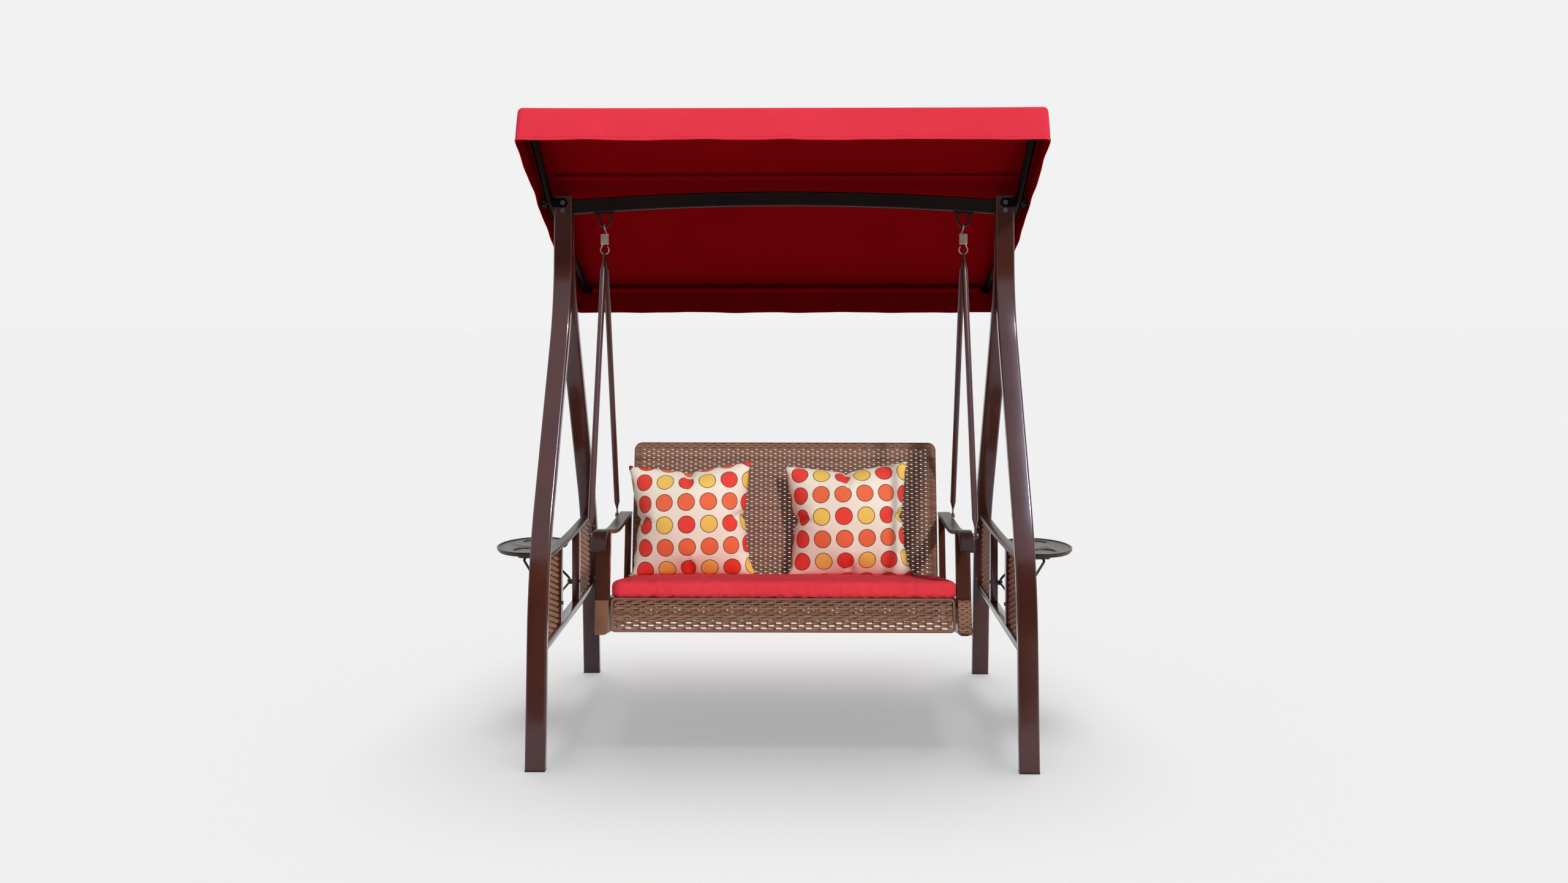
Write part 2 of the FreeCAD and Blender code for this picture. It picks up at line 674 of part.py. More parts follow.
beside = leg_x - cells.tube_width / 2 + cells.panel_bolt_inset
for height in (cells.upper_bolt_z, cells.lower_bolt_z):
    near = leg_y("rear_leg", height - cells.panel_bolt)
    far = leg_y("rear_leg", height + cells.panel_bolt)
    slope = math.atan2(near - far, 2 * cells.panel_bolt)
    face = leg_y("rear_leg", height) - cells.tube_depth / 2 / math.cos(slope)
    panel_head(beside, face, height, turned(X_AXIS, 90 + math.degrees(slope)))
for slat_y in slat_ys:
    panel_head(leg_x - cells.slat_width / 2, slat_y, cells.bail_pivot_z, turned(Y_AXIS, -90))
right_heads = group("panel_bolts_of_right", heads)
left_heads = doc.addObject("Part::Mirroring", "panel_bolts_of_left")
left_heads.Source = right_heads
left_heads.Normal = X_AXIS
keep(group("panel_bolts", [right_heads, left_heads]))

# Folding trays. The frame of each has its origin on the hinge, with X outwards.
TRAY = STAND.multiply(Placement(Vector(cells.tray_pivot_x, cells.tray_y, cells.tray_pivot_z), Rotation()))


def oval(name, inset, bottom, height):
    """An upright oval slab, whose long axis lies along Y."""
    ring = primitive("Ellipse", name + "_edge", {
        "MajorRadius": "tray_length / 2 - " + inset,
        "MinorRadius": "tray_reach - tray_middle_x - " + inset})
    put(ring, TRAY, worth("tray_middle_x - tray_pivot_x"), 0, worth(bottom), turned(Z_AXIS, 90))
    slab = doc.addObject("Part::Extrusion", name)
    slab.Base = ring
    slab.Dir = Z_AXIS
    slab.Solid = True
    bind(slab, {"LengthFwd": height})
    return slab


TRAY_TOP = "(tray_top - tray_pivot_z)"
plate = oval("tray_plate", "0", TRAY_TOP + " - tray_plate + tray_lower", "tray_plate - tray_lower")
lower = oval("tray_lower", "tray_step", TRAY_TOP + " - tray_plate", "tray_lower")
dish = oval("tray_dish", "tray_rim", TRAY_TOP + " - tray_dish", "tray_dish + cut_overrun")
inner = box("tray_inner_side", "tray_reach - tray_pivot_x", "tray_length", "tray_plate + 2 * cut_overrun")
put(inner, TRAY, worth("tray_inner_gap - (tray_reach - tray_pivot_x)"), -cells.tray_length / 2,
    worth(TRAY_TOP + " - tray_plate - cut_overrun"))
inner_wall = box("tray_inner_wall", "tray_rim", "tray_length", "tray_plate")
put(inner_wall, TRAY, cells.tray_inner_gap, -cells.tray_length / 2, worth(TRAY_TOP + " - tray_plate"))
outer_oval = oval("tray_outer", "0", TRAY_TOP + " - tray_plate", "tray_plate")
wall = doc.addObject("Part::Common", "tray_inner_rim")
wall.Base = inner_wall
wall.Tool = outer_oval
plain = joined("tray_slab", [plate, lower])
dished = cut("tray_dished", plain, dish)
rimmed = joined("tray_rimmed", [cut("tray_cut_off", dished, inner), wall])
housing = body_in(TRAY, "tray_housing")
sketch = sketch_in(housing, "XY_Plane", "outline", TRAY_TOP + " - tray_plate - tray_box_depth")
rectangle(sketch, "tray_box_reach", "tray_box_length", "tray_inner_gap + tray_box_reach / 2")
pad(housing, sketch, "tray_box_depth")
round_off(housing, "tray_box_corner", lambda edge: runs_along(edge, Z_AXIS) and
          edge.CenterOfMass.x > cells.tray_inner_gap + cells.tray_box_reach / 2)
cups = []
for side in (-1, 1):
    cup = rod("cup_%d" % len(cups), "cup_diameter / 2", "cup_depth + tray_dish")
    put(cup, TRAY, worth("cup_x - tray_pivot_x"), side * cells.cup_spacing / 2,
        worth(TRAY_TOP + " - tray_dish - cup_depth"))
    cups.append(cup)
knuckles = []
bores = []
lugs = []
pins = []
for side in (-1, 1):
    start = side * cells.hinge_spacing / 2
    knuckle = rod("knuckle_%d" % side, "knuckle / 2", "knuckle_length")
    put(knuckle, TRAY, 0, start - cells.knuckle_length / 2, 0, turned(X_AXIS, -90))
    web = box("knuckle_web_%d" % side, "tray_inner_gap + tray_rim", "knuckle_length", "knuckle / 2")
    put(web, TRAY, 0, start - cells.knuckle_length / 2, 0)
    knuckles += [knuckle, web]
    bore = rod("knuckle_bore_%d" % side, "hinge_pin / 2 + hinge_gap", "knuckle_length + 2 * cut_overrun")
    put(bore, TRAY, 0, start - cells.knuckle_length / 2 - cells.cut_overrun, 0, turned(X_AXIS, -90))
    bores.append(bore)
    # The lug stands outside the knuckle, one gap away, and is welded under the top rail.
    lug_near = start + side * (cells.knuckle_length / 2 + cells.hinge_gap)
    lug_low = min(lug_near, lug_near + side * cells.lug_thickness)
    lug = body_in(TRAY, "lug_%d" % (side + 1), 0, lug_low)
    sketch = sketch_in(lug, "XZ_Plane", "web")
    half_round = "knuckle / 2"
    top = "top_rail_top - top_rail_sag - top_rail_height / 2 - tray_pivot_z"
    outline(sketch, [("-lug_root_far", top), ("-(%s)" % half_round, "0"), ("0", "-(%s)" % half_round),
                     (half_round, "0"), ("-lug_root_near", top)])
    pad(lug, sketch, "lug_thickness", reverse=True)
    nose = sketch_in(lug, "XZ_Plane", "nose")
    circle(nose, "knuckle")
    pad(lug, nose, "lug_thickness", reverse=True)
    eye = sketch_in(lug, "XZ_Plane", "eye")
    circle(eye, "hinge_pin + 2 * hinge_gap")
    pocket(lug, eye, "2 * lug_thickness", both_ways=True)
    lugs.append(cut("tray_lug_%d" % (side + 1), lug, top_body))
    pin = rod("pin_%d" % side, "hinge_pin / 2", "knuckle_length + lug_thickness + 2 * hinge_gap + hinge_gap")
    pin_head = rod("pin_head_%d" % side, "pin_head / 2", "pin_head_height")
    outer = lug_near + side * (cells.lug_thickness + cells.hinge_gap)
    put(pin, TRAY, 0, outer, 0, turned(X_AXIS, 90 * side))
    put(pin_head, TRAY, 0, outer, 0, turned(X_AXIS, -90 * side))
    pins.append(joined("hinge_pin_%d" % (side + 1), [pin, pin_head]))
tray_solid = joined("tray_solid", [rimmed, housing] + knuckles)
tray = keep(cut("tray_right", tray_solid, joined("tray_cuts", cups + bores)))
mirror(tray, "tray_left")
right_lugs = group("lugs_right", lugs)
right_pins = group("pins_right", pins)


def both_sides(label, source):
    """Pieces of the right-hand side and their twins, as one sub-part."""
    twin = doc.addObject("Part::Mirroring", label + "_twin")
    twin.Source = source
    twin.Normal = X_AXIS
    return keep(group(label, [source, twin]))


both_sides("tray_hinge_lugs", right_lugs)
both_sides("tray_hinge_pins", right_pins)

# Tray stay: one bent wire whose long side turns in clips on the slats. It rises to the tray's underside.
REACH = ("((tray_top - tray_plate - tray_box_depth - bail_gap - bail_wire / 2 - bail_pivot_z)"
         " / sin(bail_rise))")
SPLAY = "(bail_spread - bail_top_spread) / 2"
SKEW = "(atan(" + SPLAY + " / " + REACH + ") / 1 deg)"
UPPER_SET = "(bail_bend * tan((90 - " + SKEW + ") / 2))"
LOWER_SET = "(bail_bend * tan((90 + " + SKEW + ") / 2))"
STRUT = "(" + REACH + " / cos(" + SKEW + ") - " + UPPER_SET + " - " + LOWER_SET + ")"
rise = math.radians(cells.bail_rise)
along = Vector(0, 1, 0)
upward = Vector(math.cos(rise), 0, math.sin(rise))
facing = along.cross(upward)
stay_turn = Rotation(along, upward, facing, "ZXY")
start_y = worth("-bail_top_spread / 2 + bail_foot + " + UPPER_SET)
reach = worth(REACH)
stay = body_in(STAND, "tray_stay_right", cells.bail_pivot_x + upward.x * reach,
               cells.tray_y + start_y, cells.bail_pivot_z + upward.z * reach, stay_turn)
path = bent_path(stay, "XY_Plane", "180", [
    ("run", "bail_foot"), ("bend", "bail_bend", "270 - " + SKEW), ("run", STRUT),
    ("bend", "bail_bend", "360"), ("run", "bail_spread - 2 * " + LOWER_SET),
    ("bend", "bail_bend", "450 + " + SKEW), ("run", STRUT), ("bend", "bail_bend", "540"),
    ("run", "bail_foot")])
wire = sketch_in(stay, "YZ_Plane", "wire")
circle(wire, "bail_wire")
swept(stay, wire, path)
keep(stay)
mirror(stay, "tray_stay_left")

clips = []
for slat_y, side in zip(slat_ys, (1, -1)):
    clip_y = slat_y + side * cells.clip_inset
    face = leg_x + cells.slat_width / 2
    block = box("clip_block_%d" % len(clips), "%.4f + bail_wire / 2 + bail_gap + clip_wall" % (
        cells.bail_pivot_x - face), "clip_length", "bail_wire + 2 * bail_gap + 2 * clip_wall")
    put(block, STAND, face, clip_y - cells.clip_length / 2,
        cells.bail_pivot_z - worth("bail_wire / 2 + bail_gap + clip_wall"))
    bore = rod("clip_bore_%d" % len(clips), "bail_wire / 2 + bail_gap", "clip_length + 2 * cut_overrun")
    put(bore, STAND, cells.bail_pivot_x, clip_y - cells.clip_length / 2 - cells.cut_overrun,
        cells.bail_pivot_z, turned(X_AXIS, -90))
    clips.append(cut("clip_%d" % len(clips), block, bore))
both_sides("tray_stay_clips", group("clips_right", clips))

# Hanger loops under the beam: a bent round bar on a small welded plate.
UNDERSIDE = BEAM_RADIUS + " - beam_height / 2"
underside = worth("beam_end_height - sqrt(" + BEAM_RADIUS + "^2 - " + BEAM_HALF + "^2) + sqrt(("
                  + UNDERSIDE + ")^2 - hang_x^2)")
slope = math.degrees(math.asin(cells.hang_x / worth(UNDERSIDE)))
plate = box("loop_plate_blank", "loop_plate_length", "loop_plate_width", "loop_plate")
under = STAND.multiply(Placement(Vector(cells.hang_x, cells.beam_y, underside), turned(Y_AXIS, slope)))
# The plate is flat, so only its ends touch the arched beam.
hollow_of_arch = worth("loop_plate_length^2 / 8 / (" + UNDERSIDE + ")")
put(plate, under, -cells.loop_plate_length / 2, -cells.loop_plate_width / 2,
    -cells.loop_plate - hollow_of_arch)
loop_top = underside - cells.loop_plate / 2 - math.sin(math.radians(slope)) * cells.loop_width / 2
loop_run = "%.4f" % (loop_top - cells.hang_z - cells.loop_width / 2)
loop = body_in(STAND, "loop_bar", cells.hang_x - cells.loop_width / 2, cells.beam_y, loop_top)
path = bent_path(loop, "XZ_Plane", "-90", [
    ("run", loop_run), ("bend", "loop_width / 2", "90"), ("run", loop_run)])
wire = sketch_in(loop, "XY_Plane", "wire")
circle(wire, "loop_wire")
swept(loop, wire, path)
hanger = keep(joined("hanger_loop_right", [plate, loop]))
mirror(hanger, "hanger_loop_left")

# Springs: each is one wire, hooked over its hanger loop, wound close, and ended in a ring that faces
# the front. The wire's line is a chain of arcs through stations with a place and a direction each.


def arc_from(start, direction, end):
    """The arc that leaves start along direction and ends at end."""
    chord = end - start
    across = direction - chord * (direction.dot(chord) / chord.dot(chord))
    angle = direction.getAngle(chord)
    across.normalize()
    middle_point = (start + end) / 2 + across * (chord.Length / 2 * math.tan(angle / 2))
    return Part.Arc(start, middle_point, end).toShape()


def smooth_wire(stations):
    """A line through the stations, with two tangent arcs between each and the next."""
    edges = []
    for (start, leaving), (end, arriving) in zip(stations, stations[1:]):
        span = end - start
        spare = 2 * (1 - leaving.dot(arriving))
        reach = span.dot(leaving + arriving)
        step = (math.sqrt(reach * reach + spare * span.dot(span)) - reach) / spare
        joint = (start + end + (leaving - arriving) * step) / 2
        edges += [arc_from(start, leaving, joint), arc_from(end, arriving * -1, joint)]
    return Part.Wire(Part.__sortEdges__(edges))


def spring_stations():
    stations = []
    hook_rise = cells.loop_wire / 2 + cells.soft_gap + cells.spring_wire / 2 - cells.hook_radius
    quarter = 90
    steps = math.ceil((cells.hook_start - cells.hook_end) / quarter)
    for step in range(steps + 1):
        angle = math.radians(cells.hook_start + (cells.hook_end - cells.hook_start) * step / steps)
        place = Vector(0, math.cos(angle), math.sin(angle)) * cells.hook_radius + Vector(0, 0, hook_rise)
        stations.append((place, Vector(0, math.sin(angle), -math.cos(angle))))
    radius = (cells.spring_diameter - cells.spring_wire) / 2
    pitch = cells.spring_wire + cells.spring_gap
    winding = cells.spring_turns * 360 + cells.ring_phase - cells.hook_phase
    top = cells.spring_top - cells.spring_wire / 2 - cells.hang_z
    steps = round(winding / 180)
    for step in range(steps + 1):
        turn = winding * step / steps
        angle = math.radians(cells.hook_phase + turn)
        place = Vector(radius * math.cos(angle), radius * math.sin(angle), top - pitch * turn / 360)
        heading = Vector(-math.sin(angle), math.cos(angle), -pitch / (2 * math.pi * radius))
        stations.append((place, heading.normalize()))
    middle_z = top - pitch * winding / 360 - cells.ring_drop
    steps = math.ceil((cells.ring_start - cells.ring_end) / quarter)
    for step in range(steps + 1):
        angle = math.radians(cells.ring_start + (cells.ring_end - cells.ring_start) * step / steps)
        place = Vector(math.cos(angle), 0, math.sin(angle)) * cells.ring_radius + Vector(0, 0, middle_z)
        stations.append((place, Vector(math.sin(angle), 0, -math.cos(angle))))
    return stations, middle_z - cells.ring_radius


def least_gap(wire, thickness):
    """The least space between two stretches of the wire that aren't neighbours along it."""
    points = wire.discretize(Number=int(wire.Length))
    skip = int(4 * thickness)
    least = min(
        (first - second).Length
        for index, first in enumerate(points) for second in points[index + skip:])
    return least - thickness


stations, ring_bottom = spring_stations()
line = smooth_wire(stations)
section = Part.Wire(Part.Circle(stations[0][0], stations[0][1], cells.spring_wire / 2).toShape())
spring = doc.addObject("Part::Feature", "spring_right")
spring.Shape = line.makePipeShell([section], True, False)
put(spring, STAND, cells.hang_x, cells.beam_y, cells.hang_z)
keep(spring)
mirror(spring, "spring_left")
print("spring: least gap %.2f mm, length %.0f mm, %d arcs" % (
    least_gap(line, cells.spring_wire), line.Length, len(line.Edges)))

# Seat hanging rods: round bar, pressed flat at both ends round an eye.


def rod_shape(length):
    """A rod that hangs from its upper eye at the origin down to its lower eye."""
    radius = cells.rod_diameter / 2
    tab = cells.rod_tab_width / 2
    quarter_turn = turned(Z_AXIS, 90)
    pieces = []
    tips = [(0, -1), (-length, 1)]
    holes = []
    for level, side in tips:
        end = level + side * cells.rod_tab_length
        low = min(level, end)
        flat = Part.makeBox(cells.rod_tab, 2 * tab, abs(end - level), Vector(-cells.rod_tab / 2, -tab, low))
        rim = Part.makeCylinder(tab, cells.rod_tab, Vector(-cells.rod_tab / 2, 0, level), X_AXIS)
        pressed = Part.Ellipse(Vector(0, 0, 0), tab, cells.rod_tab / 2).toShape()
        pressed.Placement = Placement(Vector(0, 0, end), quarter_turn)
        full = Part.Circle(Vector(0, 0, 0), Z_AXIS, radius).toShape()
        full.Placement = Placement(Vector(0, 0, end + side * cells.rod_taper), quarter_turn)
        taper = Part.makeLoft([Part.Wire(pressed), Part.Wire(full)], True)
        holes.append(Part.makeCylinder(cells.rod_eye / 2, 2 * cells.rod_tab,
                                       Vector(-cells.rod_tab, 0, level), X_AXIS))
        pieces += [flat, rim, taper]
    ends = cells.rod_tab_length + cells.rod_taper
    tube = Part.makeCylinder(radius, length - 2 * ends, Vector(0, 0, ends - length))
    return tube.fuse(pieces).cut(Part.makeCompound(holes))


eye_z = cells.hang_z + ring_bottom - worth("rod_eye / 2 - spring_wire / 2 - rod_eye_rest")
to_stand = STAND.inverse().multiply(SEAT)
rod_bolts = []
armrest_side = worth("armrest_x + armrest_width / 2")
rod_kinds = [
    ("front", 1, cells.front_rod_foot_y, cells.front_rod_foot_z),
    ("rear", -1, cells.rear_rod_foot_y, cells.rear_rod_foot_z)]
for place, side, foot_y, foot_z in rod_kinds:
    x = cells.hang_x + side * (cells.rod_tab + cells.rod_gap) / 2
    foot = to_stand.multVec(Vector(x, foot_y, foot_z))
    eye = Vector(x, cells.beam_y, eye_z)
    drop = foot - eye
    bar = doc.addObject("Part::Feature", "hanging_rod_%s_right" % place)
    bar.Shape = rod_shape(drop.Length)
    put(bar, STAND, eye.x, eye.y, eye.z, turned(X_AXIS, math.degrees(math.atan2(drop.y, -drop.z))))
    keep(bar)
    mirror(bar, "hanging_rod_%s_left" % place)
    # Bolt, with a collar between the rod's eye and the side of the armrest.
    tab_side = x + cells.rod_tab / 2
    inner_side = x - cells.rod_tab / 2
    shank = rod("rod_shank_" + place, "rod_bolt / 2", "%.4f + bolt_gap" % (tab_side - armrest_side))
    collar = rod("rod_collar_" + place, "rod_collar / 2", "%.4f - bolt_gap" % (inner_side - armrest_side))
    head = rod("rod_head_" + place, "rod_bolt_head / 2", "rod_bolt_head_height")
    for piece, start in ((shank, armrest_side), (collar, armrest_side), (head, tab_side + cells.bolt_gap)):
        put(piece, SEAT, start, foot_y, foot_z, turned(Y_AXIS, 90))
    rod_bolts.append(joined("rod_bolt_" + place, [shank, collar, head]))
both_sides("rod_bolts", group("rod_bolts_right", rod_bolts))

# Armrests: flat tube with a slight bow, curled down at the front.
rear_y = worth("armrest_flat_front + armrest_flat_run + armrest_bow_radius * sin(armrest_bow)"
               " + armrest_rear_run * cos(armrest_bow)")
rear_z = worth("armrest_level + armrest_bow_radius * (1 - cos(armrest_bow))"
               " + armrest_rear_run * sin(armrest_bow)")


def armrest(label, hollow):
    body = body_in(SEAT, label, cells.armrest_x, rear_y, rear_z)
    path = bent_path(body, "YZ_Plane", "180 + armrest_bow", [
        ("run", "armrest_rear_run"), ("bend", "armrest_bow_radius", "180"), ("run", "armrest_flat_run"),
        ("bend", "armrest_curl_radius", "180 + armrest_curl"), ("run", "armrest_lip")])
    section = sketch_in(body, "XZ_Plane", "section")
    rectangle(section, "armrest_width", "armrest_height")
    if hollow:
        rectangle(section, "armrest_width - 2 * tube_wall", "armrest_height - 2 * tube_wall")
    swept(body, section, path)
    return body


arm = keep(armrest("armrest_right", True))
mirror(arm, "armrest_left")
arm_core = armrest("armrest_core", False)


def post(label, x, y, width, depth, top):
    """A square tube that stands on the seat's side box and is cut to the armrest above it."""
    body = body_in(SEAT, label + "_blank", worth(x), worth(y))
    section = sketch_in(body, "XY_Plane", "section", "side_box_top")
    rectangle(section, width, depth, "0", "(%s) / 2" % depth)
    rectangle(section, width + " - 2 * tube_wall", depth + " - 2 * tube_wall", "0", "(%s) / 2" % depth)
    pad(body, section, top + " - side_box_top")
    return cut(label, body, arm_core)


both_sides("front_posts", post("front_post", "front_post_x", "front_post_y", "front_post_width",
                               "front_post_depth", "armrest_level"))
rear_post_top = "%.4f" % (rear_z - cells.armrest_height / 4)
both_sides("rear_posts", post("rear_post", "rear_post_x", "rear_post_y - rear_post_width / 2",
                              "rear_post_width", "rear_post_width", rear_post_top))

# Side boxes: the deep sides of the seat, closed at the front, with a strap outside that reaches up to
# the armrest.
box_x = worth("seat_width / 2 + seat_side_gap + side_box_width / 2")
side_body = body_in(SEAT, "side_box_right", box_x)
sketch = sketch_in(side_body, "XZ_Plane", "outline")
rectangle(sketch, "side_box_width", "side_box_top - side_box_bottom", "0",
          "(side_box_top + side_box_bottom) / 2")
pad(side_body, sketch, "side_box_length", reverse=True)
round_off(side_body, "side_box_corner",
          lambda edge: runs_along(edge, Y_AXIS) and edge.CenterOfMass.z < cells.side_box_bottom / 2)
hollow = sketch_in(side_body, "XZ_Plane", "hollow", "-side_box_length")
rectangle(hollow, "side_box_width - 2 * side_box_wall", "side_box_top - side_box_bottom - 2 * side_box_wall",
          "0", "(side_box_top + side_box_bottom) / 2")
pocket(side_body, hollow, "side_box_length - side_box_wall", reverse=True)
keep(side_body)
mirror(side_body, "side_box_left")

strap_x = box_x + cells.side_box_width / 2
strap = box("strap_blank", "strap_thickness", "strap_width", "armrest_level - side_box_bottom")
put(strap, SEAT, strap_x, worth("front_post_y + front_post_depth / 2 - strap_width / 2"),
    cells.side_box_bottom)
strap_cut = cut("strap", strap, arm_core)
strap_head = rod("strap_head", "rod_bolt_head / 2", "rod_bolt_head_height")
put(strap_head, SEAT, strap_x + cells.strap_thickness, worth("front_post_y + front_post_depth / 2"),
    cells.side_box_bottom + cells.side_box_corner, turned(Y_AXIS, 90))
both_sides("side_straps", joined("strap_right", [strap_cut, strap_head]))

# Seat: a front skirt of wicker, a ring of square tube and a woven seat sheet under the cushion.
apron = body_in(SEAT, "front_apron")
sketch = sketch_in(apron, "XZ_Plane", "outline")
rectangle(sketch, "seat_width", "apron_height")
pad(apron, sketch, "apron_thickness", reverse=True)
round_off(apron, "apron_corner", lambda edge: runs_along(edge, Y_AXIS) and edge.CenterOfMass.z < 0)
keep(apron)

ring_half = worth("seat_width / 2 + seat_side_gap")
tube_bottom = worth("seat_tube_top - seat_tube")
tubes = []


def square_tube(label, role, length, x, y):
    """A square tube along X or Y, open at its ends, with its lower side at the tubes' level."""
    body = body_in(SEAT, label, x, y, tube_bottom)
    section = sketch_in(body, role, "section")
    for shrink in ("0", "seat_tube_wall"):
        rectangle(section, "seat_tube - 2 * " + shrink, "seat_tube - 2 * " + shrink,
                  "seat_tube / 2", "seat_tube / 2")
    pad(body, section, length, reverse=role == "XZ_Plane")
    tubes.append(body)


FULL = "seat_width + 2 * seat_side_gap"
BETWEEN = "back_face - apron_thickness - 2 * seat_tube"
square_tube("front_tube", "YZ_Plane", FULL, -ring_half, cells.apron_thickness)
square_tube("rear_tube", "YZ_Plane", FULL, -ring_half, cells.back_face - cells.seat_tube)
square_tube("side_tube_left", "XZ_Plane", BETWEEN, -ring_half, cells.apron_thickness + cells.seat_tube)
square_tube("side_tube_right", "XZ_Plane", BETWEEN, ring_half - cells.seat_tube,
            cells.apron_thickness + cells.seat_tube)
keep(group("seat_frame", tubes))

sheet_box = box("seat_webbing", FULL, "back_face - apron_thickness", "seat_mesh")
keep(put(sheet_box, SEAT, -ring_half, cells.apron_thickness, cells.seat_tube_top))

# Backrest: one bent round tube with a woven panel in it.
back = body_in(SEAT, "back_frame", -worth("(seat_width - back_tube) / 2"),
               worth("back_face + back_tube / 2"), -cells.apron_height / 2)
UP = "back_top - back_tube / 2 + apron_height / 2 - back_bend"
path = bent_path(back, "XZ_Plane", "90", [
    ("run", UP), ("bend", "back_bend", "0"), ("run", "seat_width - back_tube - 2 * back_bend"),
    ("bend", "back_bend", "-90"), ("run", UP)])
section = sketch_in(back, "XY_Plane", "section")
circle(section, "back_tube")
circle(section, "back_tube - 2 * tube_wall")
swept(back, section, path)
keep(back)

panel = body_in(SEAT, "back_wicker", 0, worth("back_face + back_tube / 2"))
sketch = sketch_in(panel, "XZ_Plane", "outline")
rectangle(sketch, "seat_width - 2 * back_tube", "back_top - back_tube + apron_height / 2", "0",
          "(back_top - back_tube - apron_height / 2) / 2")
pad(panel, sketch, "back_panel", both_ways=True)
round_off(panel, "back_bend - back_tube / 2",
          lambda edge: runs_along(edge, Y_AXIS) and edge.CenterOfMass.z > 0)
keep(panel)

# Soft pieces. A section of each is an outline of four slightly hollow sides and four round corners, and
# the piece is a loft through sections that shrink towards its two faces.
PILLOW_LEVELS_SHARES = [
    (-0.5, 0.30), (-0.46, 0.19), (-0.34, 0.085), (-0.16, 0.02), (-0.03, 0), (0.03, 0), (0.16, 0.02),
    (0.34, 0.085), (0.46, 0.19), (0.5, 0.30)]
CUSHION_LEVELS_SHARES = [
    (-0.5, 0.034), (-0.38, 0.009), (-0.16, 0), (0.08, 0.002), (0.26, 0.014), (0.38, 0.04), (0.46, 0.10),
    (0.5, 0.20)]


def soft_outline(width, depth, draw, corner, z):
    """Four sides that pull in by draw between round corners, all tangent arcs, at a height."""
    edges = []
    half_x = width / 2
    half_y = depth / 2
    points = []
    for sign_x, sign_y in ((1, 1), (-1, 1), (-1, -1), (1, -1)):
        along_x = Vector(sign_x * (half_x - corner), sign_y * half_y, z)
        along_y = Vector(sign_x * half_x, sign_y * (half_y - corner), z)
        diagonal = corner * (1 - math.cos(math.pi / 4))
        tip = Vector(sign_x * (half_x - diagonal), sign_y * (half_y - diagonal), z)
        order = (along_y, tip, along_x) if sign_x == sign_y else (along_x, tip, along_y)
        points.append(order)
    for index, (start, tip, end) in enumerate(points):
        following = points[(index + 1) % len(points)][0]
        edges.append(Part.Arc(start, tip, end).toShape())
        middle_point = (end + following) / 2
        if draw > 0:
            inward = Vector(0, 0, z) - middle_point
            inward.normalize()
            edges.append(Part.Arc(end, middle_point + inward * draw, following).toShape())
        else:
            edges.append(Part.LineSegment(end, following).toShape())
    return Part.Wire(edges)


def soft_shape(width, depth, thickness, draw, corner, shares):
    outlines = []
    for height, inset in shares:
        inward = 2 * inset * depth
        left = 1 - 2 * inset
        outlines.append(soft_outline(
            width - inward, depth - inward, draw * left, corner + inset * depth / 2, height * thickness))
    return Part.makeLoft(outlines, True, True)


def soft_piece(label, width, depth, thickness, draw, corner, shares, x, y, z, rotation):
    piece = doc.addObject("Part::Feature", label)
    piece.Shape = soft_shape(width, depth, thickness, draw, corner, shares)
    put(piece, SEAT, x, y, z, rotation)
    return keep(piece)


cushion_bottom = worth("seat_tube_top + seat_mesh + soft_gap")
cushion_width = worth("seat_width - 2 * soft_gap")
cushion_y = worth("cushion_depth / 2 - cushion_overhang")
soft_piece("seat_cushion", cushion_width, cells.cushion_depth, cells.cushion_height, cells.cushion_draw,
           cells.cushion_corner, CUSHION_LEVELS_SHARES, 0, cushion_y,
           cushion_bottom + cells.cushion_height / 2, Rotation())
pillow_y = worth("back_face - soft_gap - pillow_thickness / 2")
pillow_z = worth("seat_tube_top + seat_mesh + 2 * soft_gap + cushion_height + pillow_height / 2")
pillows = [
    ("pillow_left", cells.left_pillow_x, cells.left_pillow_sink),
    ("pillow_right", cells.right_pillow_x, cells.right_pillow_sink)]
for label, x, sink in pillows:
    soft_piece(label, cells.pillow_width, cells.pillow_height, cells.pillow_thickness, cells.pillow_draw,
               cells.pillow_corner, PILLOW_LEVELS_SHARES, x, pillow_y, pillow_z - sink, turned(X_AXIS, 90))

# Canopy: two arms outside the legs, a bar at each end and a fitted cover with deep sides. The frame of
# the whole canopy has its origin on the tilting axis.
ARM_END = "(canopy_roof - canopy_cloth - soft_gap - canopy_tube / 2)"
FRONT_RUN = "(canopy_front - bar_inset)"
REAR_RUN = "(canopy_rear - bar_inset)"
arm_x = worth("frame_width / 2 + bracket_plate + arm_gap + canopy_tube / 2")
bow_arm = body_in(CANOPY, "canopy_arm_tube", arm_x, -worth(FRONT_RUN), worth(ARM_END))
path = bent_path(bow_arm, "YZ_Plane", "-atan(" + ARM_END + " / " + FRONT_RUN + ") / 1 deg", [
    ("run", None), ("bend", "arm_bend_radius", "atan(" + ARM_END + " / " + REAR_RUN + ") / 1 deg"),
    ("run", None)], (FRONT_RUN + " + " + REAR_RUN, "0"))
section = sketch_in(bow_arm, "XZ_Plane", "section")
circle(section, "canopy_tube")
circle(section, "canopy_tube - 2 * canopy_tube_wall")
swept(bow_arm, section, path)
pivot_hole = rod("pivot_hole", "pivot_bolt / 2 + bolt_gap", "2 * canopy_tube")
put(pivot_hole, CANOPY, arm_x - cells.canopy_tube, 0, 0, turned(Y_AXIS, 90))
arm = keep(cut("canopy_arm_right", bow_arm, pivot_hole))
mirror(arm, "canopy_arm_left")

